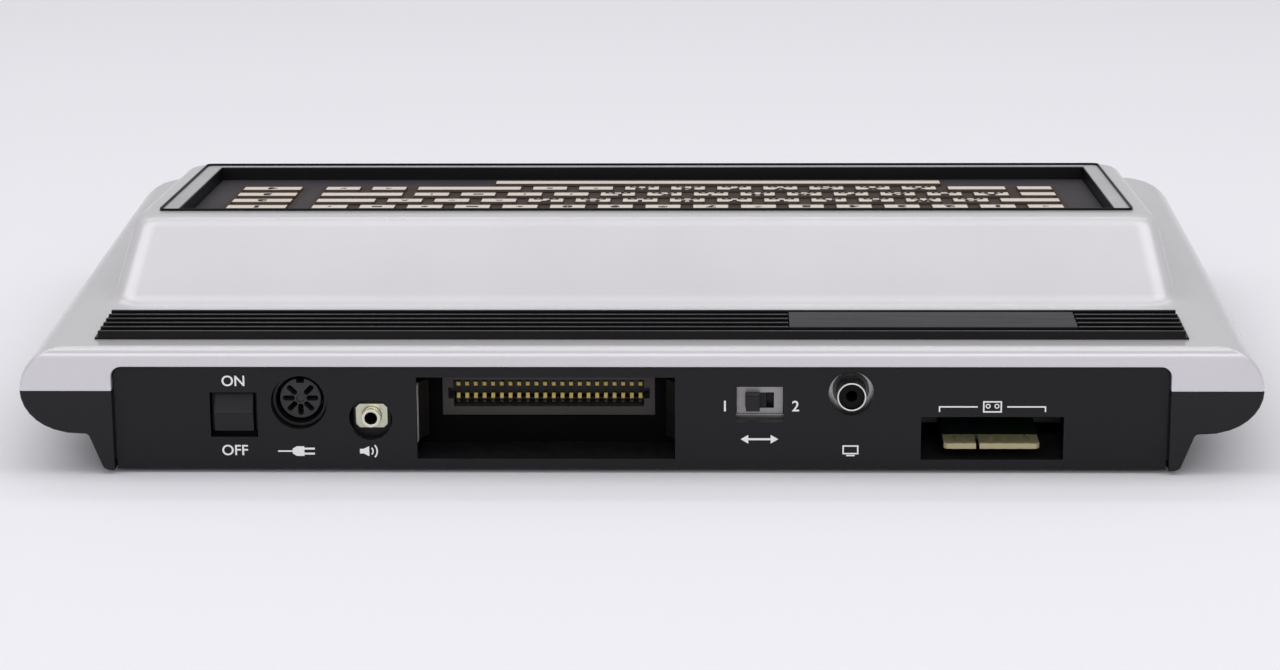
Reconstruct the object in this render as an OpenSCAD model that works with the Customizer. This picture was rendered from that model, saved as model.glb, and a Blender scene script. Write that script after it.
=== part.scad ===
// Vintage home computer: a wedge-backed case with a membrane keyboard on a raised deck.
// +Y points to the back, +X to the user's right, and the origin is the middle of the resting face.

/* [Case] */
// Width of the case across the joint between its shells
case_w = 355.8; // [350:0.2:364]
// Depth of the case, front to back
case_d = 234; // [230:0.5:240]
// Height of the joint above the underside of the case
joint_h = 23.7; // [23.2:0.1:24.6]
// Height and width of the rounded rim above the joint
rim_r = 12.9; // [11:0.1:13.4]
// Width of the rounded rim below the joint
rim_under_w = 14.8; // [13:0.1:16]
// Height of the rounded rim below the joint
rim_under_h = 12.4; // [11.4:0.1:12.8]
// Thickness of the walls of both shells
wall = 2.5; // [2:0.1:2.8]
// Radius of the front corners, seen from above
front_corner_r = 18; // [15:0.5:24]
// Radius of the back corners, seen from above
back_corner_r = 1.2; // [1:0.1:3]
// Radius along the back edge of the brim
back_edge_r = 3; // [2.8:0.1:4]
// How far the tub stands in from the joint at the sides and front
tub_inset = 19.5; // [19:0.05:21]
// How much the tub narrows on each side towards its underside
tub_taper = 3.1; // [2:0.1:4]
// Rounding along the lower edge of the tub
tub_edge_r = 2; // [1.2:0.1:2.4]
// How far the rubber feet stand out below the case
foot_proud = 1.2; // [0.8:0.1:2]
// Diameter of the rubber feet
foot_d = 12; // [8:0.5:14]

/* [Keyboard deck] */
// Width of the raised deck at its top
deck_w = 308.5; // [306:0.5:311]
// Depth of the deck's top, seen from above
deck_len = 119; // [118:0.5:122]
// Distance from the back of the case to the back edge of the deck
deck_back_gap = 67.5; // [66.5:0.5:69]
// Height of the deck's back edge above the underside of the case
deck_back_h = 59.5; // [56:0.05:62]
// Slope of the deck towards the user, in degrees
deck_slope = 4.7; // [4:0.1:6]
// How far the back wall of the deck slopes out towards the back
deck_back_run = 20.5; // [16:0.1:24]
// How far the front wall of the deck slopes out
deck_front_run = 8; // [7:0.5:9]
// How far the side walls of the deck slope out
deck_side_run = 5; // [3:0.1:6]
// Radius of the deck's corners, seen from above
deck_corner_r = 8; // [5:0.5:12]
// Length of the soft edge round the top of the deck
deck_edge = 4; // [2:0.1:4.4]
// Length of the soft foot where the deck meets the brim
deck_foot = 4; // [2:0.1:5]

/* [Keyboard] */
// Width of the keyboard opening in the deck
key_opening_w = 296.4; // [290:0.2:297.4]
// Distance from the keyboard opening to the front edge of the deck
key_front_margin = 5.75; // [5:0.05:8]
// Corner radius of the keyboard opening
key_opening_r = 1.8; // [1:0.1:3]
// Distance from the back of the case to the keyboard opening
key_opening_gap = 77.8; // [77:0.1:79]
// Width of the bezel at the sides of the keys
bezel_w = 5; // [4.4:0.1:6]
// Width of the bezel behind and in front of the keys
bezel_end_w = 1.6; // [1.4:0.1:3]
// Thickness of the bezel
bezel_t = 0.6; // [0.4:0.1:1.2]
// Depth of the key field below the bezel's face
well_depth = 4.6; // [3.5:0.1:5.5]
// Distance from one key to the next along a row
key_pitch = 15; // [13:0.1:15.2]
// Distance from one row of keys to the next
row_pitch = 13.7; // [12.6:0.1:14.2]
// Gap between neighbouring keys in a row
key_gap = 3.8; // [2.5:0.1:5]
// Depth of a key, front to back
key_len = 10.2; // [8:0.1:11]
// How far the keys stand out of the key sheet
key_rise = 0.8; // [0.4:0.1:1.2]
// Width of the function keys
function_key_w = 18.9; // [15:0.1:20]
// Width of the space bar
space_w = 146.2; // [120:0.1:150]

/* [Cooling grille] */
// Length of the grille's bars
grille_w = 312.2; // [300:0.2:314]
// Distance from the back of the case to the grille
grille_gap = 9.2; // [8:0.1:10]
// Distance from one bar to the next
bar_pitch = 4.66; // [4.2:0.02:5]
// Thickness of each bar
bar_t = 1.3; // [1:0.1:1.8]
// Number of bars
bar_count = 6; // [5:1:6]
// How far the bars stand up above the brim
bar_rise = 2.5; // [2:0.1:3.5]
// Length of the bare plate let into the grille
badge_w = 82.8; // [60:0.1:90]
// How far the middle of the bare plate lies from the middle of the case
badge_offset = -84.4; // [-100:0.1:-70]

/* [Back panel] */
// Width of the back panel
panel_w = 301.4; // [300:0.2:303]
// Height of the back panel
panel_h = 30.3; // [29.5:0.1:31.3]
// Thickness of the back panel
panel_t = 2.5; // [2:0.1:3]
// How far the panel lies in from the back of the case
panel_recess = 2; // [1.5:0.1:2.4]
// Radius of the panel's upper corners
panel_corner_r = 2.4; // [1:0.1:4]
// Width of the cartridge slot
cartridge_w = 74.2; // [72:0.1:76]
// Height of the cartridge slot
cartridge_h = 24.3; // [22:0.1:24.5]
// Distance from the panel to the cartridge connector
cartridge_depth = 19; // [16:0.5:22]
// Width of the cassette port
cassette_w = 40.8; // [38:0.1:44]
// Height of the cassette port
cassette_h = 12.8; // [11:0.1:13]
// Width of the power switch's opening
power_switch_w = 13.7; // [13.2:0.1:14.2]
// Height of the power switch's opening
power_switch_h = 13.4; // [13.2:0.1:14.5]
// Angle that the power switch tilts each way, in degrees
rocker_throw = 9; // [6:0.5:9]
// Diameter of the power socket's hole
power_socket_d = 16.2; // [16:0.1:16.8]
// Diameter of the audio jack's hole
audio_hole_d = 12.5; // [11.5:0.1:13]
// Diameter of the television jack's hole
tv_hole_d = 13; // [12.2:0.1:14]
// Width of the channel switch's opening
channel_w = 13.8; // [13.6:0.1:14.6]
// Height of the channel switch's opening
channel_h = 10.6; // [9:0.1:12]
// Travel of the channel switch
channel_travel = 4; // [3.4:0.1:4]

/* [Sockets] */
// Bore of the audio jack
audio_bore_d = 3.6; // [3.5:0.05:3.8]
// Outer diameter of the television jack's sleeve
tv_sleeve_d = 8.3; // [8:0.05:8.4]
// Length of the television jack's sleeve
tv_sleeve_len = 8.5; // [8:0.1:10]
// Distance from one cartridge contact to the next
cartridge_pitch = 2.54; // [2.5:0.02:2.54]
// Number of cartridge contacts in each row
cartridge_contacts_n = 22; // [18:1:22]
// Distance from one cassette contact to the next
cassette_pitch = 3.96; // [3.9:0.02:4.4]
// Distance between the two control ports
control_pitch = 37; // [35:0.5:40]

/* [Circuit board] */
// Distance from the sides of the case to the main circuit board
board_side_gap = 30.9; // [30:0.1:33]
// Height of the board's lower face above the underside of the case
board_h = 5.7; // [5.2:0.1:5.9]
// Thickness of the board
board_t = 1.6; // [1.2:0.1:1.6]

/* [Hidden] */
$fn = 48;

// Clearances
running_gap = 0.05;
fit_gap = 0.2;
panel_gap = 0.6;
seat_gap = 0.1;

// Levels and planes
under_z = foot_proud;
joint_z = under_z + joint_h;
brim_z = joint_z + rim_r;
can_setback = 4.8;
back_overhang = max(tv_sleeve_len - can_setback - panel_recess, 0);
back_y = (case_d - back_overhang) / 2;
front_y = back_y - case_d;
half_w = case_w / 2;
panel_y = back_y - panel_recess;
panel_back_y = panel_y - panel_t;
floor_z = under_z + wall;
board_z = under_z + board_h;
board_top = board_z + board_t;
board_back_y = panel_back_y - fit_gap;

// Deck
deck_back_y = back_y - deck_back_gap;
deck_front_y = deck_back_y - deck_len;
key_back_y = back_y - key_opening_gap;
key_opening_len = (deck_len + deck_back_gap - key_opening_gap - key_front_margin) / cos(deck_slope);
key_mid_y = key_back_y - key_opening_len / 2 * cos(deck_slope);
function deck_z(y) = under_z + deck_back_h - (deck_back_y - y) * tan(deck_slope);

// Smoothness of the moulded shells
corner_steps = 9;
rim_steps = 8;
soft_steps = 5;
least_corner = 3;

// ---------- shared shapes ----------

// Corner arc of an outline, seen from above
function arc(x, y, r, from) =
  [for (i = [0 : corner_steps]) let (a = from + 90 * i / corner_steps) [x + r * cos(a), y + r * sin(a)]];

// Rounded outline with its own front and back corner radius
function outline(half, y0, y1, r0, r1) = concat(
  arc(half - r1, y1 - r1, r1, 0),
  arc(r1 - half, y1 - r1, r1, 90),
  arc(r0 - half, y0 + r0, r0, 180),
  arc(half - r0, y0 + r0, r0, 270));

function at_level(points, z) = [for (p = points) [p[0], p[1], z]];

// Outline of the case, drawn in by side at the front and sides and by back at the back
function case_ring(side, back, z) = at_level(outline(half_w - side, front_y + side,
  back_y - back, max(front_corner_r - side, least_corner), back_corner_r), z);

// Points a set distance from each of a towards b
function towards(a, b, dist) =
  [for (i = [0 : len(a) - 1]) a[i] + (b[i] - a[i]) * dist / norm(b[i] - a[i])];

// Rings of a soft bend from a to c round the corner b
function bend(a, b, c) = [for (i = [0 : soft_steps]) let (t = i / soft_steps)
  a * (1 - t) * (1 - t) + b * (2 * t * (1 - t)) + c * (t * t)];

// Closed skin over a stack of rings
module skin(rings) {
  n = len(rings[0]);
  last = (len(rings) - 1) * n;
  sides = [for (k = [0 : len(rings) - 2], i = [0 : n - 1]) let (j = (i + 1) % n)
    each [[k * n + i, k * n + n + i, k * n + n + j], [k * n + i, k * n + n + j, k * n + j]]];
  polyhedron(points = [for (r = rings) each r], convexity = 6, faces = concat(
    [[for (i = [0 : n - 1]) i]], sides, [[for (i = [n - 1 : -1 : 0]) last + i]]));
}

module block(from, to) translate(from) cube(to - from);

module rounded_rect(w, h, r) {
  square([w - 2 * r, h], center = true);
  square([w, h - 2 * r], center = true);
  for (x = [-1, 1], y = [-1, 1]) translate([x * (w / 2 - r), y * (h / 2 - r)]) circle(r);
}

// Children drawn looking at the back panel: x across, y up, and z into the case from its face
module at_panel(x, h) translate([x, panel_y, under_z + h]) rotate([90, 0, 0]) children();

// Children drawn on the deck: x across, y up the slope, and z out of the deck's face
module on_deck() translate([0, key_mid_y, deck_z(key_mid_y)]) rotate([deck_slope, 0, 0]) children();

module tube(outer, inner, h) difference() {
  cylinder(r = outer, h = h);
  translate([0, 0, -1]) cylinder(r = inner, h = h + 2);
}

// ---------- screws that hold the case ----------
boss_r = 4.6;
case_screw_r = 1.5;
case_screw_head_r = 2.9;
case_screw_head_t = 2.2;
case_screw_len = 20;
screw_seat_z = under_z + 12;
front_boss_y = front_y + 28;
back_boss_y = back_y - 49;
front_boss_x = half_w - 47.9;
back_boss_x = half_w - 37.9;
case_bosses = [for (x = [-1, 0, 1]) each [[x * front_boss_x, front_boss_y], [x * back_boss_x, back_boss_y]]];

module at_bosses() for (p = case_bosses) translate([p[0], p[1], 0]) children();

// ---------- openings in the back panel ----------
power_switch_at = [116.6, 16.2];
power_socket_at = [97.8, 19.9];
audio_at = [77.3, 14.9];
cartridge_at = [26.95, 15.2];
channel_at = [-34.4, 19.4];
tv_at = [-60.5, 22.6];
cassette_at = [-100.9, 9.3];

// ---------- top shell ----------
function back_in(z) = let (up = z - brim_z + back_edge_r)
  up <= 0 ? 0 : back_edge_r * (1 - sqrt(max(1 - pow(up / back_edge_r, 2), 0)));

// Rim from the joint up to the brim, thinned by t
function rim_rings(t) = [for (i = [0 : rim_steps]) let (a = 90 * i / rim_steps,
  z = joint_z + (rim_r - t) * sin(a)) case_ring(rim_r - (rim_r - t) * cos(a), max(t, back_in(z)), z)];

function deck_base(out, z) = at_level(outline(deck_w / 2 + deck_side_run + out,
  deck_front_y - deck_front_run - out, deck_back_y + deck_back_run + out,
  deck_corner_r + max(out, 0), deck_corner_r + max(out, 0)), z);

function deck_top(in, drop) = [for (p = outline(deck_w / 2 - in, deck_front_y + in,
  deck_back_y - in, max(deck_corner_r - in, least_corner), max(deck_corner_r - in, least_corner)))
  [p[0], p[1], deck_z(p[1]) - drop]];

// Deck from the brim up to its flat top, thinned by t
function deck_rings(t) = let (
  foot = deck_base(-t, brim_z - t), edge = deck_top(t, t),
  foot_out = deck_base(deck_foot - t, brim_z - t), foot_in = towards(foot, edge, deck_foot),
  edge_in = towards(edge, foot, max(deck_edge - t, 1)), edge_top = deck_top(max(deck_edge, t + 1), t))
  concat(bend(foot_out, foot, foot_in), bend(edge_in, edge, edge_top));

module top_outer() skin(concat(rim_rings(0), deck_rings(0)));

module top_cavity() difference() {
  skin(concat([case_ring(wall, wall, joint_z - 1)], rim_rings(wall), deck_rings(wall)));
  at_bosses() translate([0, 0, joint_z + seat_gap]) cylinder(r = boss_r, h = deck_back_h);
}

module panel_notch(extra, from_z) {
  top = under_z + panel_h + extra;
  w = panel_w + 2 * extra;
  r = panel_corner_r + extra;
  translate([0, back_y + 1, 0]) rotate([90, 0, 0]) linear_extrude(wall + 1.5) {
    translate([-w / 2, from_z]) square([w, top - r - from_z]);
    translate([-w / 2 + r, from_z]) square([w - 2 * r, top - from_z]);
    for (x = [-1, 1]) translate([x * (w / 2 - r), top - r]) circle(r);
  }
}

module top_shell() color("silver") difference() {
  top_outer();
  top_cavity();
  on_deck() translate([0, 0, -wall - 3])
    linear_extrude(wall + 6) rounded_rect(key_opening_w, key_opening_len, key_opening_r);
  panel_notch(panel_gap, joint_z - 2);
  block([-grille_w / 2 + grille_ledge, grille_front_y + grille_ledge, brim_z - wall - 1],
    [grille_w / 2 - grille_ledge, grille_back_y - grille_ledge, brim_z + 1]);
  at_bosses() translate([0, 0, joint_z - 1])
    cylinder(r = case_screw_r + running_gap, h = screw_seat_z + case_screw_len + 2 - joint_z);
}

// ---------- bottom shell ----------
// Rim from the tub's underside out to the joint, thinned by t
function under_rings(t) = [for (i = [rim_steps : -1 : 0]) let (a = 90 * i / rim_steps)
  case_ring(rim_under_w - (rim_under_w - t) * cos(a), t, joint_z - (rim_under_h - t) * sin(a))];

module bottom_outer() skin(concat([
  case_ring(tub_inset + tub_taper + tub_edge_r, 0, under_z),
  case_ring(tub_inset + tub_taper + tub_edge_r * 0.3, 0, under_z + tub_edge_r * 0.3),
  case_ring(tub_inset + tub_taper, 0, under_z + tub_edge_r),
  case_ring(tub_inset, 0, joint_z - rim_under_h - tub_foot),
  case_ring(tub_inset - tub_foot * 0.3, 0, joint_z - rim_under_h - tub_foot * 0.5),
  case_ring(tub_inset - tub_foot, 0, joint_z - rim_under_h - under_draft)],
  under_rings(0)));
tub_foot = 1.4;
under_draft = 0.2;

module bottom_cavity() difference() {
  skin(concat([
    case_ring(tub_inset + tub_taper + wall, wall, floor_z),
    case_ring(tub_inset + wall, wall, joint_z - rim_under_h + wall - 0.1)],
    under_rings(wall), [case_ring(wall, wall, joint_z + 1)]));
  at_bosses() cylinder(r = boss_r, h = joint_z);
  for (p = board_posts) translate([p[0], p[1], 0]) cylinder(r = board_post_r, h = board_z);
  control_surround();
}

module bottom_shell() color("dimgray") difference() {
  bottom_outer();
  bottom_cavity();
  panel_notch(panel_gap, under_z - 2);
  block([-panel_w / 2 - panel_gap, panel_back_y - fit_gap, under_z - 1],
    [panel_w / 2 + panel_gap, back_y + 1, floor_z + 1]);
  block([-panel_w / 2 - panel_lip - fit_gap, panel_back_y - fit_gap, floor_z],
    [panel_w / 2 + panel_lip + fit_gap, back_y - wall, joint_z + 1]);
  control_recess();
  at_bosses() {
    translate([0, 0, under_z - 1]) cylinder(r = case_screw_head_r + fit_gap, h = screw_seat_z - under_z + 1);
    cylinder(r = case_screw_r + fit_gap, h = joint_z + 1);
  }
  for (p = board_posts) translate([p[0], p[1], floor_z])
    cylinder(r = board_screw_r + running_gap, h = board_z);
  at_feet() translate([0, 0, -1]) cylinder(r = foot_d / 2 + fit_gap, h = foot_seat_z + 1);
}

// ---------- back panel ----------
panel_lip = 1.6;
panel_lip_t = 1.8;
cutout_r = 0.6;

module panel_cutouts() {
  at_panel(power_switch_at[0], power_switch_at[1]) through_panel() square([power_switch_w, power_switch_h], center = true);
  at_panel(power_socket_at[0], power_socket_at[1]) through_panel() circle(d = power_socket_d);
  at_panel(audio_at[0], audio_at[1]) through_panel() circle(d = audio_hole_d);
  at_panel(cartridge_at[0], cartridge_at[1]) through_panel() square([cartridge_w, cartridge_h], center = true);
  at_panel(channel_at[0], channel_at[1]) through_panel() rounded_rect(channel_w, channel_h, cutout_r);
  at_panel(tv_at[0], tv_at[1]) through_panel() circle(d = tv_hole_d);
  at_panel(cassette_at[0], cassette_at[1]) through_panel() square([cassette_w, cassette_h], center = true);
}

module through_panel() translate([0, 0, -1]) linear_extrude(panel_t + 2) children();

module rear_panel() color([0.16, 0.16, 0.18]) difference() {
  union() {
    translate([0, panel_y, 0]) rotate([90, 0, 0]) linear_extrude(panel_t) {
      translate([-panel_w / 2, under_z]) square([panel_w, panel_h - panel_corner_r]);
      translate([-panel_w / 2 + panel_corner_r, under_z]) square([panel_w - 2 * panel_corner_r, panel_h]);
      for (x = [-1, 1]) translate([x * (panel_w / 2 - panel_corner_r), under_z + panel_h - panel_corner_r])
        circle(panel_corner_r);
    }
    block([-panel_w / 2 - panel_lip, panel_back_y, floor_z + fit_gap],
      [panel_w / 2 + panel_lip, panel_back_y + panel_lip_t, under_z + panel_h + panel_lip]);
  }
  panel_cutouts();
}

// ---------- cooling grille ----------
grille_ledge = 3;
grille_flange = 1;
grille_flange_t = 0.6;
grille_len = (bar_count - 1) * bar_pitch + bar_t;
grille_back_y = back_y - grille_gap;
grille_front_y = grille_back_y - grille_len;
grille_top = brim_z + bar_rise;
bar_foot = 4;
rib_count = 7;
badge_t = 1.5;
badge_bars = 4;
badge_len = badge_bars * bar_pitch - bar_t;

module grille_bar(i) {
  y = grille_back_y - i * bar_pitch - bar_t;
  drop = i == 0 || i == bar_count - 1 ? 0 : bar_foot;
  half = drop == 0 ? grille_w / 2 : grille_w / 2 - grille_ledge - fit_gap;
  block([-grille_w / 2, y, brim_z], [grille_w / 2, y + bar_t, grille_top]);
  if (drop > 0) block([-half, y, brim_z - drop], [half, y + bar_t, brim_z]);
}

module cooling_grille() color([0.13, 0.13, 0.15]) difference() {
  union() {
    for (i = [0 : bar_count - 1]) grille_bar(i);
    for (x = [-1, 1]) block([x * grille_w / 2 - (x > 0 ? grille_ledge : grille_flange), grille_front_y, brim_z],
      [x * grille_w / 2 + (x > 0 ? grille_flange : grille_ledge), grille_back_y, brim_z + grille_flange_t]);
    for (k = [0 : rib_count - 1]) {
      x = (k - (rib_count - 1) / 2) * (grille_w - 2 * grille_ledge - 4) / (rib_count - 1);
      block([x - bar_t / 2, grille_front_y + bar_t / 2, brim_z], [x + bar_t / 2, grille_back_y - bar_t / 2, brim_z + grille_flange_t]);
      block([x - bar_t / 2, grille_front_y + grille_ledge + fit_gap, brim_z - bar_foot],
        [x + bar_t / 2, grille_back_y - grille_ledge - fit_gap, brim_z]);
    }
  }
  block([badge_offset - badge_w / 2 - fit_gap, badge_back_y - badge_len - fit_gap, grille_top - badge_t],
    [badge_offset + badge_w / 2 + fit_gap, badge_back_y + fit_gap, grille_top + 1]);
}
badge_back_y = grille_back_y - bar_pitch;

module badge_plate() color([0.2, 0.2, 0.22])
  block([badge_offset - badge_w / 2, badge_back_y - badge_len, grille_top - badge_t],
    [badge_offset + badge_w / 2, badge_back_y, grille_top]);

// ---------- keyboard ----------
bezel_gap = 0.3;
bezel_out_w = key_opening_w - 2 * bezel_gap;
bezel_out_len = key_opening_len - 2 * bezel_gap;
well_w = bezel_out_w - 2 * (bezel_w - bezel_gap);
well_len = bezel_out_len - 2 * (bezel_end_w - bezel_gap);
frame_lip = 1.5;
frame_lip_t = 1.6;
frame_lip_len = key_opening_len - 13.3;
frame_lip_top = -wall * cos(deck_slope) - seat_gap;
sheet_t = 0.6;
spacer_t = 0.3;
circuit_t = 0.2;
plate_t = 1;
stack_gap = 0.05;
sheet_top = -well_depth;
spacer_top = sheet_top - sheet_t;
circuit_top = spacer_top - spacer_t;
plate_top = circuit_top - circuit_t;
frame_bottom = circuit_top - circuit_t;
keyboard_screw_r = 1.1;
keyboard_screw_len = 5;
keyboard_screw_head = 1.2;
keyboard_screws_n = 3;
keyboard_screw_margin = 10;

module ring_plate(out_w, out_len, in_w, in_len, r, t) linear_extrude(t) difference() {
  rounded_rect(out_w, out_len, r);
  square([in_w, in_len], center = true);
}

module keyboard_bezel() color([0.66, 0.66, 0.68]) on_deck() translate([0, 0, -bezel_t])
  ring_plate(bezel_out_w, bezel_out_len, well_w, well_len, key_opening_r, bezel_t);

// The frame's ring fills the opening, and its side lips bear on the underside of the deck
module keyboard_frame() color([0.12, 0.12, 0.13]) difference() {
  on_deck() {
    translate([0, 0, frame_bottom])
      ring_plate(bezel_out_w, bezel_out_len, well_w, well_len, key_opening_r, -bezel_t - frame_bottom);
    for (s = [-1, 1]) block(
      [s * (key_opening_w / 2) - frame_lip, -frame_lip_len / 2, frame_lip_top - frame_lip_t],
      [s * (key_opening_w / 2) + frame_lip, frame_lip_len / 2, frame_lip_top]);
  }
  at_keyboard_screws() cylinder(r = keyboard_screw_r + running_gap, h = keyboard_screw_len);
}

module at_keyboard_screws() on_deck() for (i = [0 : keyboard_screws_n - 1], x = [-1, 1])
  translate([x * (bezel_out_w + well_w) / 4,
    (i / (keyboard_screws_n - 1) - 0.5) * (bezel_out_len - 2 * keyboard_screw_margin), plate_top - plate_t - 0.2]) children();

module keyboard_layer(top, t) on_deck() translate([-well_w / 2 + fit_gap, -well_len / 2 + fit_gap, top - t])
  cube([well_w - 2 * fit_gap, well_len - 2 * fit_gap, t]);

module key_sheet() color([0.35, 0.33, 0.33]) keyboard_layer(sheet_top, sheet_t);
module key_spacer() color("ivory") keyboard_layer(spacer_top, spacer_t);
module key_circuit() color("peru") keyboard_layer(circuit_top, circuit_t);

module keyboard_plate() color("lightsteelblue") difference() {
  on_deck() translate([0, 0, plate_top - plate_t]) linear_extrude(plate_t)
    rounded_rect(bezel_out_w, bezel_out_len, key_opening_r);
  at_keyboard_screws() translate([0, 0, -1]) cylinder(r = keyboard_screw_r + fit_gap, h = plate_t + 2);
  block([tail_x - tail_w / 2 - 1, tail_y - tail_slot / 2, 0], [tail_x + tail_w / 2 + 1, tail_y + tail_slot / 2, deck_back_h]);
}

module keyboard_screws() color("silver") at_keyboard_screws() {
  translate([0, 0, -keyboard_screw_head]) cylinder(r = 2 * keyboard_screw_r, h = keyboard_screw_head + 0.2);
  cylinder(r = keyboard_screw_r, h = keyboard_screw_len - 0.5);
}

// Widths of the keys in each row, in key pitches, from the back row to the front row
key_rows = [
  [for (i = [1 : 16]) 1],
  concat([1.5], [for (i = [1 : 13]) 1], [1.5]),
  concat([for (i = [1 : 14]) 1], [2]),
  concat([1, 1.5], [for (i = [1 : 9]) 1], [2.5, 1, 1])];
row_units = 16;
keys_left = -132.5;
keys_back = 16.8;
key_corner = 1;
space_left = -95.2;
function_key_left = 113.6;
function row_y(r) = keys_back - r * row_pitch;
function sum_to(list, n) = n <= 0 ? 0 : list[n - 1] + sum_to(list, n - 1);

module key_pad(left, y, w) on_deck() translate([left + w / 2, y, sheet_top])
  linear_extrude(key_rise) rounded_rect(w, key_len, key_corner);

module key_pads() color([0.88, 0.82, 0.76]) {
  for (r = [0 : len(key_rows) - 1], k = [0 : len(key_rows[r]) - 1])
    key_pad(keys_left + key_gap / 2 + key_pitch * sum_to(key_rows[r], k), row_y(r), key_rows[r][k] * key_pitch - key_gap);
  key_pad(space_left, row_y(len(key_rows)), space_w);
}

module function_key_pads() color([0.9, 0.8, 0.68])
  for (r = [0 : len(key_rows) - 1]) key_pad(function_key_left, row_y(r), function_key_w);

tail_x = -100;
tail_y = key_mid_y - 27;
tail_w = 50;
tail_t = 0.3;
tail_slot = 4;
tail_socket_h = 9;
tail_dip = 4;

module keyboard_tail() color("peru") {
  top = deck_z(tail_y) + (plate_top - seat_gap) / cos(deck_slope);
  block([tail_x - tail_w / 2, tail_y - tail_t / 2, board_top + tail_socket_h - tail_dip],
    [tail_x + tail_w / 2, tail_y + tail_t / 2, top]);
}

module keyboard_socket() color("ivory") difference() {
  block([tail_x - tail_w / 2 - 2.5, tail_y - 3, board_top], [tail_x + tail_w / 2 + 2.5, tail_y + 3, board_top + tail_socket_h]);
  block([tail_x - tail_w / 2 - fit_gap, tail_y - tail_t / 2 - fit_gap, board_top + tail_socket_h - tail_dip - seat_gap],
    [tail_x + tail_w / 2 + fit_gap, tail_y + tail_t / 2 + fit_gap, board_top + tail_socket_h + 1]);
}

// ---------- main board ----------
board_w = case_w - 2 * board_side_gap;
board_front_y = front_y + 36;
board_post_r = 3.4;
board_screw_r = 1.4;
board_screw_head_r = 2.6;
board_post_x = board_w / 2 - 10;
back_post_x = board_w / 2 - 15;
board_posts = [for (s = [-1, 1]) each [[s * board_post_x, board_front_y + 10],
  [s * board_post_x, board_front_y + 75], [s * back_post_x, board_back_y - 24]]];
tongue_w = 28;
tongue_corner = 1.2;
tongue_cut_w = 8;
tongue_cut_d = 28;
tongue_setback = 1.5;
key_slot_w = 1;
guide_half = cartridge_w / 2 + 3;
cartridge_socket_y = panel_y - cartridge_depth;

module main_board() color("darkgreen") difference() {
  union() {
    block([-board_w / 2, board_front_y, board_z], [board_w / 2, board_back_y, board_top]);
    translate([cassette_at[0], panel_y - tongue_setback, board_z]) linear_extrude(board_t) polygon([
      [-tongue_w / 2, -6], [tongue_w / 2, -6], [tongue_w / 2, -tongue_corner],
      [tongue_w / 2 - tongue_corner, 0], [tongue_corner - tongue_w / 2, 0], [-tongue_w / 2, -tongue_corner]]);
  }
  block([cartridge_at[0] - guide_half, cartridge_socket_y - guide_back_t - seat_gap, board_z - 1],
    [cartridge_at[0] + guide_half, back_y, board_top + 1]);
  block([cassette_at[0] + cassette_pitch - key_slot_w / 2, panel_y - 11, board_z - 1],
    [cassette_at[0] + cassette_pitch + key_slot_w / 2, back_y, board_top + 1]);
  for (x = [-1, 1]) translate([cassette_at[0] + x * (tongue_w + tongue_cut_w) / 2, 0, 0])
    block([-tongue_cut_w / 2, panel_y - tongue_cut_d, board_z - 1], [tongue_cut_w / 2, back_y, board_top + 1]);
  at_bosses() translate([0, 0, board_z - 1]) cylinder(r = boss_r + 0.6, h = board_t + 2);
  for (p = board_posts) translate([p[0], p[1], board_z - 1]) cylinder(r = board_screw_r + fit_gap, h = board_t + 2);
}

module cassette_contacts() color("gold") for (i = [0 : 5], side = [0, 1]) {
  x = cassette_at[0] + (i - 2.5) * cassette_pitch;
  z = side == 0 ? board_top : board_z - contact_foil;
  block([x - 1.2, panel_y - 10.5, z], [x + 1.2, panel_y - tongue_setback - 0.3, z + contact_foil]);
}
contact_foil = 0.1;

// ---------- cartridge port ----------
guide_t = 1.5;
guide_side_gap = 0.4;
guide_back_t = 0.8;
spring_w = 10;
spring_t = 0.3;
spring_bow = 3;
cartridge_body_w = 62.2;
cartridge_body_h = 11.6;
cartridge_body_d = 10;
cartridge_body_z = under_z + 10.5;
cartridge_slot_z = cartridge_body_z + cartridge_body_h / 2 + 0.9;
slot_w = 58.8;
slot_h = 3.1;
contact_window_h = 7.9;
slot_d = 8;
contact_w = 1.1;
leaf_t = 0.5;
contact_gap = 1.2;

// Hood round the cartridge's path, standing on the floor of the bottom shell
module cartridge_guide() color([0.1, 0.1, 0.11]) difference() {
  x0 = cartridge_at[0] - cartridge_w / 2 - guide_side_gap;
  x1 = cartridge_at[0] + cartridge_w / 2 + guide_side_gap;
  top = under_z + cartridge_at[1] + cartridge_h / 2 + guide_side_gap;
  block([x0 - guide_t, cartridge_socket_y - guide_back_t, floor_z], [x1 + guide_t, panel_back_y - seat_gap, top + guide_t]);
  block([x0, cartridge_socket_y, floor_z - 1], [x1, back_y, top]);
  block([cartridge_at[0] - cartridge_body_w / 2 - fit_gap, panel_y - cartridge_depth - 5, cartridge_body_z - fit_gap],
    [cartridge_at[0] + cartridge_body_w / 2 + fit_gap, back_y, cartridge_body_z + cartridge_body_h + fit_gap]);
}

// Earthing springs down both sides of the cartridge's path
module cartridge_springs() color("silver") for (s = [-1, 1])
  translate([cartridge_at[0] + s * (cartridge_w / 2 + guide_side_gap - seat_gap), 0, under_z + 7])
    mirror([s > 0 ? 1 : 0, 0, 0]) linear_extrude(17) polygon([
      [0, panel_back_y - 0.6], [spring_t, panel_back_y - 0.6], [spring_t, panel_back_y - 4],
      [spring_bow, panel_back_y - 8.5], [spring_t, panel_back_y - 12.6], [0, panel_back_y - 12.6],
      [0, panel_back_y - 12.1], [spring_bow - spring_t, panel_back_y - 8.5], [0, panel_back_y - 4]]);

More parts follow.
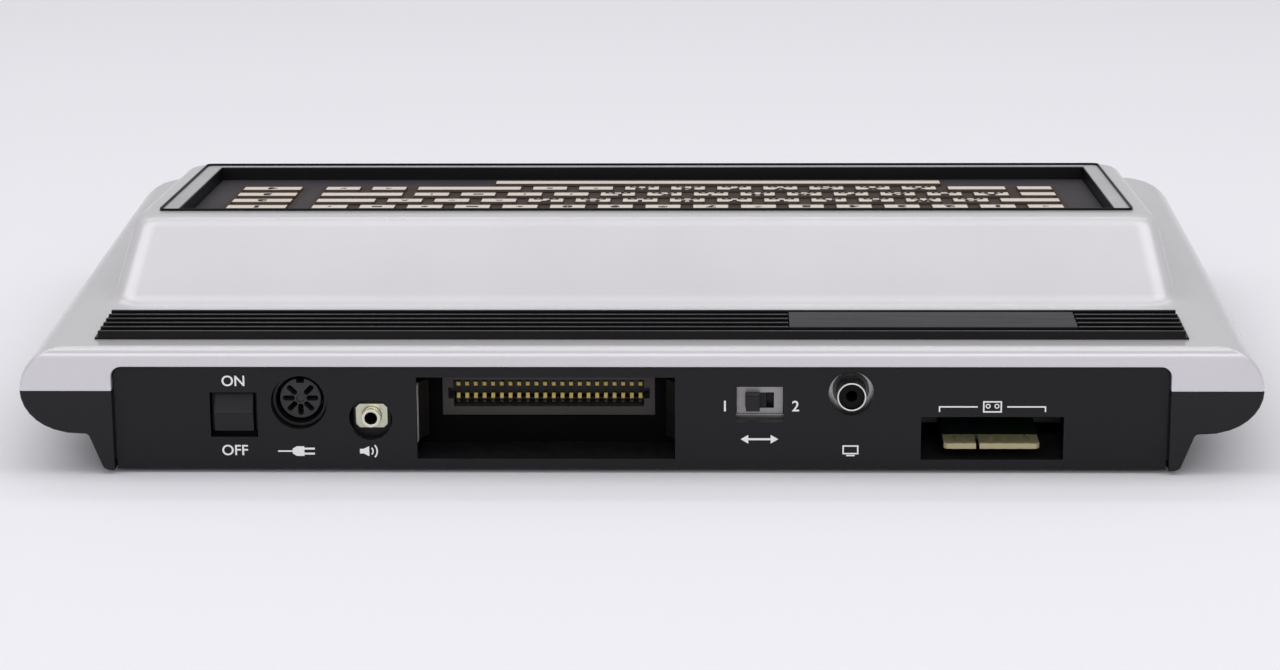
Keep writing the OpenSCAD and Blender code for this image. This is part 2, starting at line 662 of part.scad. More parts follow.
module cartridge_socket() color([0.14, 0.13, 0.13]) difference() {
  union() {
    block([cartridge_at[0] - cartridge_body_w / 2, cartridge_socket_y - cartridge_body_d, cartridge_body_z],
      [cartridge_at[0] + cartridge_body_w / 2, cartridge_socket_y, cartridge_body_z + cartridge_body_h]);
    for (s = [-1, 1]) block([cartridge_at[0] + s * (cartridge_body_w / 2 - 2) - 2, cartridge_socket_y - cartridge_body_d, board_top],
      [cartridge_at[0] + s * (cartridge_body_w / 2 - 2) + 2, cartridge_socket_y - 1, cartridge_body_z]);
  }
  block([cartridge_at[0] - slot_w / 2, cartridge_socket_y - slot_d, cartridge_slot_z - slot_h / 2],
    [cartridge_at[0] + slot_w / 2, cartridge_socket_y + 1, cartridge_slot_z + slot_h / 2]);
  block([cartridge_at[0] - contact_row_w / 2, cartridge_socket_y - slot_d, cartridge_slot_z - contact_window_h / 2],
    [cartridge_at[0] + contact_row_w / 2, cartridge_socket_y + 1, cartridge_slot_z + contact_window_h / 2]);
  for (s = [-1, 1]) block([cartridge_at[0] - contact_row_w / 2, cartridge_socket_y - cartridge_body_d - 1, cartridge_slot_z + s * tail_offset - leaf_t / 2 - seat_gap],
    [cartridge_at[0] + contact_row_w / 2, cartridge_socket_y - slot_d + 1, cartridge_slot_z + s * tail_offset + leaf_t / 2 + seat_gap]);
}
contact_row_w = cartridge_contacts_n * cartridge_pitch - 0.3;
tail_offset = 3;

// Each contact is a leaf bowed into the slot, with a tail that turns down to the board
module cartridge_contact(side) {
  half = leaf_t / 2;
  tip = [-3, side * (tail_offset + 0.5)];
  touch = [-4.6, side * (contact_gap / 2 + half)];
  root = [-slot_d, side * tail_offset];
  reach = cartridge_body_d + (side > 0 ? 4 : 1.5);
  up = [0, half];
  linear_extrude(contact_w) polygon([tip - up, tip + up, touch + up, root + up,
    [-reach - leaf_t, root[1] + half], [-reach - leaf_t, board_top - cartridge_slot_z],
    [-reach, board_top - cartridge_slot_z], [-reach, root[1] - half], root - up, touch - up]);
}

module cartridge_contacts() color("gold") for (i = [0 : cartridge_contacts_n - 1], side = [-1, 1])
  translate([cartridge_at[0] + (i - (cartridge_contacts_n - 1) / 2) * cartridge_pitch - contact_w / 2, cartridge_socket_y, cartridge_slot_z])
    rotate([90, 0, 90]) cartridge_contact(side);

// ---------- power switch ----------
pivot_depth = 5.4;
pivot_r = 1;
rocker_w = 11.3;
rocker_gap = 0.15;
cheek_t = (power_switch_w - fit_gap - rocker_w) / 2 - rocker_gap;
ridge_reach = 6.4;
rocker_half_h = 5.7;
ridge_slope = 20;
switch_body_depth = 9.6;
cheek_depth = 3.9;
switch_body_d = 11;

module at_pivot() translate([power_switch_at[0], panel_y - pivot_depth, under_z + power_switch_at[1]]) children();

module rocker_outline() polygon([
  [ridge_reach, 0], [ridge_reach - rocker_half_h * tan(ridge_slope), rocker_half_h],
  [1.4, rocker_half_h], [-0.6, 4.4], [-3, 1.8], [-3, -1.8], [-0.6, -4.4], [1.4, -rocker_half_h],
  [ridge_reach - rocker_half_h * tan(ridge_slope), -rocker_half_h]]);

module power_rocker() color([0.15, 0.15, 0.17]) at_pivot() rotate([rocker_throw, 0, 0]) {
  translate([-rocker_w / 2, 0, 0]) rotate([90, 0, 90]) linear_extrude(rocker_w) rocker_outline();
  rotate([0, 90, 0]) cylinder(r = pivot_r, h = rocker_w + 2 * (cheek_t + rocker_gap) - 0.2, center = true);
}

module power_switch_body() color([0.1, 0.1, 0.1]) {
  x = power_switch_at[0];
  outer = rocker_w / 2 + rocker_gap + cheek_t;
  body_y = panel_y - switch_body_depth;
  block([x - outer, body_y - switch_body_d, board_top], [x + outer, body_y, under_z + power_switch_at[1] + rocker_half_h]);
  difference() {
    for (s = [-1, 1]) block([x + s * (outer - cheek_t / 2) - cheek_t / 2, body_y, under_z + power_switch_at[1] - rocker_half_h],
      [x + s * (outer - cheek_t / 2) + cheek_t / 2, panel_y - cheek_depth, under_z + power_switch_at[1] + rocker_half_h]);
    at_pivot() rotate([0, 90, 0]) cylinder(r = pivot_r + running_gap, h = 2 * outer + 2, center = true);
  }
}

// ---------- power socket ----------
socket_face_depth = 4.4;
socket_ring_r = 6.95;
socket_insert_r = 5.95;
socket_block_d = 15;
pin_circle_r = 3.4;
pin_slot_w = 1.5;
pin_slot_len = 3.4;
pin_depth = 8;
pin_setback = 3;

module power_socket_body() color([0.13, 0.13, 0.14]) difference() {
  union() {
    at_panel(power_socket_at[0], power_socket_at[1]) translate([0, 0, panel_t + fit_gap]) cylinder(r = power_socket_d / 2 - fit_gap, h = 4);
    block([power_socket_at[0] - 7.7, panel_y - panel_t - fit_gap - 3 - socket_block_d, board_top],
      [power_socket_at[0] + 7.7, panel_y - panel_t - fit_gap - 3, under_z + power_socket_at[1] + 7.7]);
  }
  at_panel(power_socket_at[0], power_socket_at[1]) cylinder(r = socket_ring_r, h = socket_face_depth + 9);
  at_panel(power_socket_at[0], power_socket_at[1]) cylinder(r = socket_insert_r, h = socket_face_depth + 11);
}

module power_socket_insert() color([0.25, 0.25, 0.27]) at_panel(power_socket_at[0], power_socket_at[1])
  translate([0, 0, socket_face_depth]) difference() {
    cylinder(r = socket_insert_r - running_gap, h = 11);
    for (k = [0 : 6]) rotate([0, 0, 90 + 45 * (k + 1)]) translate([pin_circle_r, 0, -1]) linear_extrude(pin_depth + 1) {
      square([pin_slot_len - pin_slot_w, pin_slot_w], center = true);
      for (s = [-1, 1]) translate([s * (pin_slot_len - pin_slot_w) / 2, 0]) circle(d = pin_slot_w);
    }
    translate([-1.1, socket_insert_r - 1.4, -1]) cube([2.2, 3, pin_depth + 1]);
    translate([0, 0, -1]) cylinder(r = 1.2, h = 1.6);
  }

module power_socket_contacts() color("gold") at_panel(power_socket_at[0], power_socket_at[1])
  translate([0, 0, socket_face_depth + pin_setback]) for (k = [0 : 6]) rotate([0, 0, 90 + 45 * (k + 1)])
    translate([pin_circle_r, 0, 0]) tube(pin_slot_w / 2 - 0.05, pin_slot_w / 2 - 0.25, pin_depth - pin_setback - seat_gap);

// ---------- audio jack ----------
audio_plate_w = 9.2;
audio_plate_h = 7.1;
audio_plate_cut = 1.1;
audio_plate_t = 0.8;
audio_plate_depth = 3.6;
audio_sleeve_r = 2.8;
audio_sleeve_len = 6;
audio_body_w = 11;
audio_body_d = 13;

module audio_jack_body() color([0.1, 0.1, 0.1]) difference() {
  block([audio_at[0] - audio_body_w / 2, panel_y - audio_plate_depth - audio_plate_t - audio_body_d, board_top],
    [audio_at[0] + audio_body_w / 2, panel_y - audio_plate_depth - audio_plate_t, under_z + audio_at[1] + audio_body_w / 2]);
  at_panel(audio_at[0], audio_at[1]) {
    cylinder(r = audio_sleeve_r + running_gap, h = audio_plate_depth - 3 + audio_sleeve_len + seat_gap);
    cylinder(r = audio_bore_d / 2, h = 16);
  }
}

module audio_jack_plate() color("lightgray") at_panel(audio_at[0], audio_at[1]) translate([0, 0, audio_plate_depth])
  linear_extrude(audio_plate_t) difference() {
    w = audio_plate_w / 2;
    h = audio_plate_h / 2;
    c = audio_plate_cut;
    polygon([[w, c - h], [w, h - c], [w - c, h], [c - w, h], [-w, h - c], [-w, c - h], [c - w, -h], [w - c, -h]]);
    circle(audio_sleeve_r + running_gap);
  }

module audio_jack_sleeve() color("silver") at_panel(audio_at[0], audio_at[1]) translate([0, 0, audio_plate_depth - 3])
  tube(audio_sleeve_r, audio_bore_d / 2, audio_sleeve_len);

// ---------- modulator, television jack and channel switch ----------
can_left = -78;
can_right = -23;
can_d = 40;
can_h = 22.4;
can_t = 0.6;
can_lid_setback = 0.8;
channel_body_w = 13.4;
channel_body_h = 8;
channel_body_d = 7;
channel_plate_t = 0.5;
channel_slot_w = 8.1;
channel_slot_h = 4.6;
channel_knob_w = channel_slot_w - channel_travel - 2 * running_gap;
channel_knob_h = channel_slot_h - 2 * running_gap;
tv_flange_r = 5.2;
tv_flange_t = 0.8;
tv_sleeve_t = 0.45;
tv_pin_r = 1.6;

module rf_modulator() color([0.72, 0.72, 0.74]) difference() {
  block([can_left, panel_y - can_setback - can_d, board_top], [can_right, panel_y - can_setback, board_top + can_h]);
  block([can_left + can_t, panel_y - can_setback - can_d + can_t, board_top - 1],
    [can_right - can_t, panel_y - can_setback - can_t, board_top + can_h + 1]);
  at_panel(channel_at[0], channel_at[1]) translate([0, 0, can_setback - 1]) linear_extrude(can_t + 2)
    square([channel_body_w + 2 * fit_gap, channel_body_h + 2 * fit_gap], center = true);
  at_panel(tv_at[0], tv_at[1]) translate([0, 0, can_setback - 1]) cylinder(r = tv_pin_r, h = can_t + 2);
}

module modulator_lid() color([0.76, 0.76, 0.78]) difference() {
  block([can_left - can_t, panel_y - can_setback - can_d - can_t, board_top + can_h - 4],
    [can_right + can_t, panel_y - can_setback - can_lid_setback, board_top + can_h + can_t]);
  block([can_left, panel_y - can_setback - can_d, board_top + can_h - 5],
    [can_right, panel_y, board_top + can_h]);
}

// Small board in the can that carries its coils
module modulator_board() color([0.62, 0.5, 0.3]) block(
  [can_left + can_t + fit_gap, panel_y - can_setback - can_d + can_t + fit_gap, board_top + 4],
  [can_right - can_t - fit_gap, panel_y - can_setback - channel_body_d - 1, board_top + 4 + board_t]);

module modulator_coils() color([0.3, 0.55, 0.35]) for (i = [0 : 3])
  translate([can_left + 9 + i * 12, panel_y - can_setback - 26, board_top + 4 + board_t]) cylinder(r = 2.5, h = 8);

module channel_switch_body() color([0.1, 0.1, 0.1]) at_panel(channel_at[0], channel_at[1]) difference() {
  translate([-channel_body_w / 2, -channel_body_h / 2, can_setback]) cube([channel_body_w, channel_body_h, channel_body_d]);
  translate([-channel_body_w / 2 + 0.6, -channel_body_h / 2 + 0.7, can_setback - 1]) cube([channel_body_w - 1.2, channel_body_h - 1.4, 4]);
}

module channel_switch_plate() color("silver") at_panel(channel_at[0], channel_at[1])
  translate([0, 0, can_setback - channel_plate_t]) linear_extrude(channel_plate_t) difference() {
    square([channel_body_w, channel_body_h], center = true);
    square([channel_slot_w, channel_slot_h], center = true);
  }

module channel_slider() color([0.12, 0.12, 0.13]) at_panel(channel_at[0] + channel_travel / 2, channel_at[1]) {
  translate([-channel_knob_w / 2, -channel_knob_h / 2, 0.2]) cube([channel_knob_w, channel_knob_h, can_setback + 0.6]);
  translate([-4, -channel_body_h / 2 + 0.75, can_setback + running_gap]) cube([8, channel_body_h - 1.5, 1.4]);
}

module tv_jack_sleeve() color("silver") at_panel(tv_at[0], tv_at[1]) {
  translate([0, 0, can_setback - tv_sleeve_len]) tube(tv_sleeve_d / 2, tv_sleeve_d / 2 - tv_sleeve_t, tv_sleeve_len);
  translate([0, 0, can_setback - tv_flange_t]) tube(tv_flange_r, tv_sleeve_d / 2 - tv_sleeve_t, tv_flange_t);
}

module tv_jack_insulator() color([0.16, 0.16, 0.16]) at_panel(tv_at[0], tv_at[1]) translate([0, 0, can_setback - tv_sleeve_len + 1])
  tube(tv_sleeve_d / 2 - tv_sleeve_t - running_gap, tv_pin_r, tv_sleeve_len - 1);

// ---------- control ports in the right side ----------
control_mid_y = 0;
control_h = 13.8;
control_flange_w = 30.8;
control_flange_h = 12.5;
control_face_x = half_w - tub_inset + 1.2;
control_shell_w = 16.9;
control_shell_h = 8.3;
control_recess_w = control_pitch + control_flange_w + 3;
control_recess_h = 13;
control_wall = 2;

module control_surround() block(
  [control_face_x - 5, control_mid_y - control_recess_w / 2 - control_wall, floor_z + 1],
  [half_w, control_mid_y + control_recess_w / 2 + control_wall, under_z + control_h + control_recess_h / 2 + control_wall]);

module control_recess() {
  block([control_face_x, control_mid_y - control_recess_w / 2, under_z + control_h - control_recess_h / 2],
    [half_w + 1, control_mid_y + control_recess_w / 2, under_z + control_h + control_recess_h / 2]);
  for (s = [-1, 1]) at_control_port(s) {
    translate([0, 0, -8]) linear_extrude(12) square([control_shell_w + 1, control_shell_h + 1], center = true);
    translate([0, 0, -12]) linear_extrude(7) square([control_flange_w + 1, control_flange_h + 0.4], center = true);
  }
}

// Children drawn looking at a control port from the right: x towards the back, y up, z outwards
module at_control_port(s) translate([control_face_x, control_mid_y + s * control_pitch / 2, under_z + control_h])
  rotate([90, 0, 90]) children();

module port_outline(in) polygon([[in - control_shell_w / 2, control_shell_h / 2 - in], [control_shell_w / 2 - in, control_shell_h / 2 - in],
  [control_shell_w / 2 - in - 1.3, in - control_shell_h / 2], [in + 1.3 - control_shell_w / 2, in - control_shell_h / 2]]);

module control_port_shells() color("silver") for (s = [-1, 1]) at_control_port(s) difference() {
  union() {
    translate([0, 0, -5.8]) linear_extrude(11.5) port_outline(0);
    translate([-control_flange_w / 2, -control_flange_h / 2, -5.9]) cube([control_flange_w, control_flange_h, 0.7]);
  }
  translate([0, 0, -7]) linear_extrude(20) port_outline(0.5);
}

module control_port_inserts() color([0.12, 0.12, 0.12]) for (s = [-1, 1]) at_control_port(s) difference() {
  union() {
    translate([0, 0, -9]) linear_extrude(8) port_outline(0.55);
    translate([-control_shell_w / 2, board_top - under_z - control_h, -20]) cube([control_shell_w, under_z + control_h - board_top + 4, 14]);
  }
  at_pins() translate([0, 0, -10]) cylinder(r = 0.5 + running_gap, h = 12);
}

module at_pins() {
  for (i = [0 : 4]) translate([(i - 2) * 2.74, 1.4, 0]) children();
  for (i = [0 : 3]) translate([(i - 1.5) * 2.74, -1.4, 0]) children();
}

module control_port_pins() color("gold") for (s = [-1, 1]) at_control_port(s) at_pins()
  translate([0, 0, -9.9]) cylinder(r = 0.5, h = 14);

// ---------- chips and other parts on the board ----------
dip_pitch = 2.54;
dip_stand = 0.5;
dip_h = 3.8;
dip_pin_w = 0.5;
dip_pin_t = 0.3;
wide_row = 15.24;
narrow_row = 7.62;

// Dual in-line chip with its pins on both long sides, along X
module dip(pins, row_gap) {
  n = pins / 2;
  len = n * dip_pitch;
  w = row_gap - 1.6;
  difference() {
    translate([-len / 2, -w / 2, dip_stand]) cube([len, w, dip_h]);
    translate([-len / 2, 0, dip_stand + dip_h - 0.6]) cylinder(r = 0.9, h = 1);
  }
  for (i = [0 : n - 1], s = [-1, 1]) translate([(i - (n - 1) / 2) * dip_pitch - dip_pin_w / 2, 0, 0]) {
    y = s * row_gap / 2;
    block([0, min(y, y - s * 0.8 - s * dip_pin_t), dip_stand + dip_h / 2], [dip_pin_w, max(y, y - s * 0.8 - s * dip_pin_t), dip_stand + dip_h / 2 + dip_pin_t]);
    block([0, min(y, y - s * dip_pin_t), 0], [dip_pin_w, max(y, y - s * dip_pin_t), dip_stand + dip_h / 2]);
  }
}

// Children stand on the board at x, and at a set distance in front of its back edge
module on_board(x, from_back) translate([x, board_back_y - from_back, board_top]) children();

chip_rows = [67, 97, 127, 155];

module processor() color([0.1, 0.1, 0.1]) on_board(30, chip_rows[0]) dip(40, wide_row);
module video_chip() color([0.6, 0.56, 0.52]) on_board(-55, chip_rows[0]) dip(40, wide_row);
module interface_chip() color([0.1, 0.1, 0.1]) on_board(30, chip_rows[1]) dip(40, wide_row);
module sound_chip() color([0.1, 0.1, 0.1]) on_board(-45, chip_rows[1]) dip(28, wide_row);
module memory_chips() color([0.1, 0.1, 0.1]) for (i = [0 : 2]) on_board(-50 + i * 38, chip_rows[2]) dip(18, narrow_row);
module logic_chips() color([0.1, 0.1, 0.1]) for (i = [0 : 4]) on_board(-60 + i * 30, chip_rows[3]) dip(16, narrow_row);

module crystal() color("silver") on_board(-95, 72) {
  translate([0, 0, 0.6]) linear_extrude(13) {
    square([6, 4.6], center = true);
    for (s = [-1, 1]) translate([s * 3, 0]) circle(d = 4.6);
  }
  for (s = [-1, 1]) translate([s * 2.4, 0, 0]) cylinder(r = 0.3, h = 1);
}

sink_x = board_w / 2 - 39;
sink_from_back = 35;
sink_w = 36;
sink_h = 20;
fin_n = 8;

module heat_sink() color([0.2, 0.2, 0.22]) on_board(sink_x, sink_from_back) {
  translate([-sink_w / 2, 0, 0]) cube([sink_w, 2, sink_h]);
  for (i = [0 : fin_n - 1]) translate([-sink_w / 2 + i * (sink_w - 1.2) / (fin_n - 1), 2, 0]) cube([1.2, 7, sink_h]);
}

module voltage_regulator() color([0.12, 0.12, 0.12]) on_board(sink_x, sink_from_back) {
  translate([-5, -1.3, 4]) cube([10, 1.3, 15]);
  translate([-5, -4.6, 4]) cube([10, 3.3, 9]);
  for (i = [-1, 0, 1]) translate([i * 2.54 - 0.4, -3.4, 0]) cube([0.8, 0.5, 4]);
}

// Each capacitor's place on the board, radius and height
capacitor_spots = [[sink_x - 28, 36, 6, 24], [sink_x - 28, 52, 4, 12], [sink_x - 12, 57, 4, 12],
  [sink_x - 33, 82, 2.5, 9], [-95, 42, 3, 11], [-105, 52, 3, 11]];

module capacitors() color([0.2, 0.3, 0.55]) for (c = capacitor_spots) on_board(c[0], c[1]) {
  translate([0, 0, 0.6]) cylinder(r = c[2], h = c[3]);
  for (s = [-1, 1]) translate([s * c[2] / 2, 0, 0]) cylinder(r = 0.35, h = 1);
}

module resistors() color("tan") for (i = [0 : 11]) on_board(sink_x - 24 + (i % 3) * 14, 78 + floor(i / 3) * 9) {
  translate([-3, 0, 1.6]) rotate([0, 90, 0]) cylinder(r = 1.15, h = 6);
  for (s = [-1, 1]) {
    translate([s * 4.2 - 0.3, -0.3, 0]) cube([0.6, 0.6, 1.9]);
    translate([s * 3.5 - 0.9, -0.3, 1.3]) cube([1.8, 0.6, 0.6]);
  }
}

// ---------- fasteners and feet ----------
foot_seat_z = under_z + 1.2;
foot_spots = [for (x = [-1, 1], y = [front_y + 42, back_y - 24]) [x * (half_w - 49.9), y]];
module at_feet() for (p = foot_spots) translate([p[0], p[1], 0]) children();

module board_screws() color("silver") for (p = board_posts) translate([p[0], p[1], board_top]) {
  cylinder(r = board_screw_head_r, h = 1.6);
  translate([0, 0, floor_z + 0.4 - board_top]) cylinder(r = board_screw_r, h = board_top - floor_z);
}

module case_screws() color("silver") at_bosses() {
  translate([0, 0, screw_seat_z - case_screw_head_t]) cylinder(r = case_screw_head_r, h = case_screw_head_t);
  translate([0, 0, screw_seat_z - 0.5]) cylinder(r = case_screw_r, h = case_screw_len + 0.5);
}

module rubber_feet() color([0.15, 0.15, 0.15]) at_feet() cylinder(r = foot_d / 2, h = foot_seat_z);

top_shell();
bottom_shell();
rear_panel();
cooling_grille();
badge_plate();
keyboard_bezel();
keyboard_frame();
key_sheet();
key_pads();
function_key_pads();
key_spacer();
key_circuit();
keyboard_plate();
keyboard_screws();
keyboard_tail();
keyboard_socket();
main_board();
cassette_contacts();
cartridge_guide();
cartridge_springs();
cartridge_socket();
cartridge_contacts();
power_switch_body();
power_rocker();
power_socket_body();
power_socket_insert();
power_socket_contacts();
audio_jack_body();
audio_jack_plate();
audio_jack_sleeve();
rf_modulator();
modulator_lid();
modulator_board();
modulator_coils();
tv_jack_sleeve();
tv_jack_insulator();
channel_switch_body();
channel_switch_plate();
channel_slider();
control_port_shells();
control_port_inserts();
control_port_pins();
processor();
video_chip();
sound_chip();
interface_chip();
memory_chips();
logic_chips();
crystal();
voltage_regulator();
heat_sink();
capacitors();
resistors();
board_screws();
case_screws();
rubber_feet();
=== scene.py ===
import math

import bmesh
import bpy
from mathutils import Matrix, Vector


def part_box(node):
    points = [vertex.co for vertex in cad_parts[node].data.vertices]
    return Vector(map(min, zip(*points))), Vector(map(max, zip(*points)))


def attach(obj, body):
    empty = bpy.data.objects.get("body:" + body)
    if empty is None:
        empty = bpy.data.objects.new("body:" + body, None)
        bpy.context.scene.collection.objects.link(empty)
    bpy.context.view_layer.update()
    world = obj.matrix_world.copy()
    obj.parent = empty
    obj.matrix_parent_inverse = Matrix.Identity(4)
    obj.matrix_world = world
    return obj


MM = 0.001

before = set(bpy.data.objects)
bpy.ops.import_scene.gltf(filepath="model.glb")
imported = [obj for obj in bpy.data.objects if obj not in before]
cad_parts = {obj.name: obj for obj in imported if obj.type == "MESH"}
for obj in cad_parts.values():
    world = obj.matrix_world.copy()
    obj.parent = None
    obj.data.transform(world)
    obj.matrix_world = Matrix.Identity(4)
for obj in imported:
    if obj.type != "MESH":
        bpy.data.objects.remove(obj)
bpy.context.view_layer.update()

# ---------- Studio ----------
# The machine stands on a wide sweep of pale lavender paper, lit evenly by the room, by softboxes
# overhead and high on each side, by a strip above its front and by a lower box behind its back.
PAPER = (0.875, 0.865, 0.915, 1)
PAPER_REACH = 6
ROOM_LIGHT = 0.52
SOFTBOXES = (
    # name, place, what it faces, width and length, power
    ("overhead_softbox", (0, 0.15, 1.6), (0, 0, 0), (1.1, 1.2), 3.6),
    ("front_strip", (0, -0.85, 1.45), (0, 0, 0), (2.4, 0.15), 3.0),
    ("left_softbox", (0.9, 0.15, 1.25), (0, 0, 0), (0.8, 0.9), 3.3),
    ("right_softbox", (-0.9, 0.15, 1.25), (0, 0, 0), (0.8, 0.9), 3.3),
    ("back_softbox", (0, 1.45, 0.6), (0, 0.1, 0.03), (1.6, 0.5), 5.2),
)
CAMERA_LENS = 98.435
CAMERA_DOWN = math.radians(15.124)
CAMERA_TURN = math.radians(1.4)
CAMERA_ROLL = math.radians(-0.352)
CAMERA_FROM_BACK = Vector((-0.023727, 0.959487, 0.301078))


def lay_paper():
    """Floor sheet, large enough to fill the view behind the machine."""
    bm = bmesh.new()
    bmesh.ops.create_grid(bm, x_segments=1, y_segments=1, size=PAPER_REACH)
    mesh = bpy.data.meshes.new("paper_sweep")
    bm.to_mesh(mesh)
    bm.free()
    paper = bpy.data.objects.new("paper_sweep", mesh)
    bpy.context.scene.collection.objects.link(paper)
    material = bpy.data.materials.new("paper_sweep")
    material.use_nodes = True
    shader = material.node_tree.nodes["Principled BSDF"]
    shader.inputs["Base Color"].default_value = PAPER
    shader.inputs["Roughness"].default_value = 0.9
    shader.inputs["Specular IOR Level"].default_value = 0.1
    mesh.materials.append(material)


def hang_softbox(name, place, aim, size, power):
    """Rectangular area lamp at place, turned to face aim."""
    lamp = bpy.data.lights.new(name, "AREA")
    lamp.shape = "RECTANGLE"
    lamp.size, lamp.size_y = size
    lamp.energy = power
    box = bpy.data.objects.new(name, lamp)
    box.location = place
    box.rotation_euler = (Vector(aim) - Vector(place)).to_track_quat("-Z", "Y").to_euler()
    bpy.context.scene.collection.objects.link(box)


def stand_camera(back):
    """Camera behind the machine, a little above it and turned slightly to its right."""
    camera = bpy.data.cameras.new("camera")
    camera.sensor_width = 36
    camera.lens = CAMERA_LENS
    stand = bpy.data.objects.new("camera", camera)
    forward = Vector((math.sin(CAMERA_TURN) * math.cos(CAMERA_DOWN),
                      -math.cos(CAMERA_TURN) * math.cos(CAMERA_DOWN), -math.sin(CAMERA_DOWN)))
    level = forward.cross(Vector((0, 0, 1))).normalized()
    upright = level.cross(forward)
    right = level * math.cos(CAMERA_ROLL) + upright * math.sin(CAMERA_ROLL)
    up = upright * math.cos(CAMERA_ROLL) - level * math.sin(CAMERA_ROLL)
    turned = Matrix((right, up, -forward)).transposed().to_4x4()
    stand.matrix_world = Matrix.Translation(Vector((0, back, 0)) + CAMERA_FROM_BACK) @ turned
    bpy.context.scene.collection.objects.link(stand)
    bpy.context.scene.camera = stand


lay_paper()
stand_camera(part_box("top_shell")[1].y)
for softbox in SOFTBOXES:
    hang_softbox(*softbox)
room = bpy.data.worlds.new("room")
room.use_nodes = True
room.node_tree.nodes["Background"].inputs["Color"].default_value = (1, 1, 1, 1)
room.node_tree.nodes["Background"].inputs["Strength"].default_value = ROOM_LIGHT
bpy.context.scene.world = room
bpy.context.scene.view_settings.view_transform = "Standard"

# ---------- Bottom shell ----------
# The tub and the lower half of the rim are one injection moulding in black ABS with a fine
# spark-eroded grain. It rests on four feet and takes the top shell on its six screw bosses.
DUST_GREY = (0.42, 0.41, 0.40, 1)
WELD_DISTANCE = 0.002 * MM
FLAT_ANGLE = math.radians(0.3)
SHARP_ANGLE = math.radians(30)


def screen(red, green, blue):
    """Linear colour that shows as the given 8-bit screen colour."""
    def linear(c):
        return c / 255 / 12.92 if c <= 10 else ((c / 255 + 0.055) / 1.055) ** 2.4
    return (linear(red), linear(green), linear(blue), 1)


def feed(tree, source, socket):
    """Links a socket, or sets a plain value."""
    if isinstance(source, bpy.types.NodeSocket):
        tree.links.new(source, socket)
    else:
        socket.default_value = source


def noise(tree, vector, scale, detail=2.0, roughness=0.5):
    """Noise between 0 and 1 on the given coordinates."""
    node = tree.nodes.new("ShaderNodeTexNoise")
    feed(tree, vector, node.inputs["Vector"])
    feed(tree, scale, node.inputs["Scale"])
    node.inputs["Detail"].default_value = detail
    node.inputs["Roughness"].default_value = roughness
    return node.outputs["Fac"]


def spread(tree, value, low, high, to_low=0.0, to_high=1.0):
    """Stretches low..high to another range and cuts off what lies outside."""
    node = tree.nodes.new("ShaderNodeMapRange")
    for socket, source in zip(node.inputs, (value, low, high, to_low, to_high)):
        feed(tree, source, socket)
    return node.outputs["Result"]


def times(tree, first, second):
    """Product of two values."""
    node = tree.nodes.new("ShaderNodeMath")
    node.operation = "MULTIPLY"
    feed(tree, first, node.inputs[0])
    feed(tree, second, node.inputs[1])
    return node.outputs[0]


def shade(tree, share, first, second):
    """Colour that goes from first to second as share goes from 0 to 1."""
    node = tree.nodes.new("ShaderNodeMix")
    node.data_type = "RGBA"
    for socket, source in ((0, share), (6, first), (7, second)):
        feed(tree, source, node.inputs[socket])
    return node.outputs[2]


def object_place(tree, stretch=(1, 1, 1)):
    """Object coordinates, stretched along each axis."""
    node = tree.nodes.new("ShaderNodeMapping")
    node.inputs["Scale"].default_value = stretch
    tree.links.new(tree.nodes.new("ShaderNodeTexCoord").outputs["Object"], node.inputs["Vector"])
    return node.outputs["Vector"]


def effect(name, inputs, outputs):
    """Empty shader node group with number inputs and outputs, and its two end nodes."""
    group = bpy.data.node_groups.new(name, "ShaderNodeTree")
    for label, value in inputs.items():
        socket = group.interface.new_socket(label, in_out="INPUT", socket_type="NodeSocketFloat")
        socket.default_value = value
    for label in outputs:
        group.interface.new_socket(label, in_out="OUTPUT", socket_type="NodeSocketFloat")
    return group, group.nodes.new("NodeGroupInput"), group.nodes.new("NodeGroupOutput")


def make_grain():
    """Fine moulded or sprayed grain, and slow patches that vary tone and gloss."""
    group, given, made = effect("surface_grain", {"Scale": 2600}, ("Height", "Patches"))
    place = object_place(group)
    fine = noise(group, place, given.outputs["Scale"], detail=3, roughness=0.6)
    slow = noise(group, place, 14, detail=5, roughness=0.65)
    group.links.new(fine, made.inputs["Height"])
    group.links.new(spread(group, slow, 0.3, 0.7), made.inputs["Patches"])
    return group


def make_edge_wear():
    """Where handling has rubbed the edges, broken up along their length."""
    group, given, made = effect("edge_wear", {"Width": 0.0005}, ("Mask",))
    rounded = group.nodes.new("ShaderNodeBevel")
    rounded.samples = 4
    group.links.new(given.outputs["Width"], rounded.inputs["Radius"])
    facing = group.nodes.new("ShaderNodeVectorMath")
    facing.operation = "DOT_PRODUCT"
    group.links.new(rounded.outputs["Normal"], facing.inputs[0])
    group.links.new(group.nodes.new("ShaderNodeNewGeometry").outputs["Normal"], facing.inputs[1])
    bent = spread(group, facing.outputs["Value"], 0.97, 0.75)
    patchy = spread(group, noise(group, object_place(group), 160, detail=4, roughness=0.7), 0.42, 0.7)
    group.links.new(times(group, bent, patchy), made.inputs["Mask"])
    return group


def make_dust():
    """Thin dust that settles on what faces up."""
    group, given, made = effect("settled_dust", {"Amount": 0.1}, ("Mask",))
    normal = group.nodes.new("ShaderNodeSeparateXYZ")
    group.links.new(group.nodes.new("ShaderNodeNewGeometry").outputs["Normal"], normal.inputs[0])
    up = spread(group, normal.outputs["Z"], 0.4, 1.0)
    clumps = spread(group, noise(group, object_place(group), 420, detail=5, roughness=0.75), 0.45, 0.75)
    group.links.new(times(group, times(group, up, clumps), given.outputs["Amount"]), made.inputs["Mask"])
    return group


SURFACE_GRAIN = make_grain()
EDGE_WEAR = make_edge_wear()
SETTLED_DUST = make_dust()


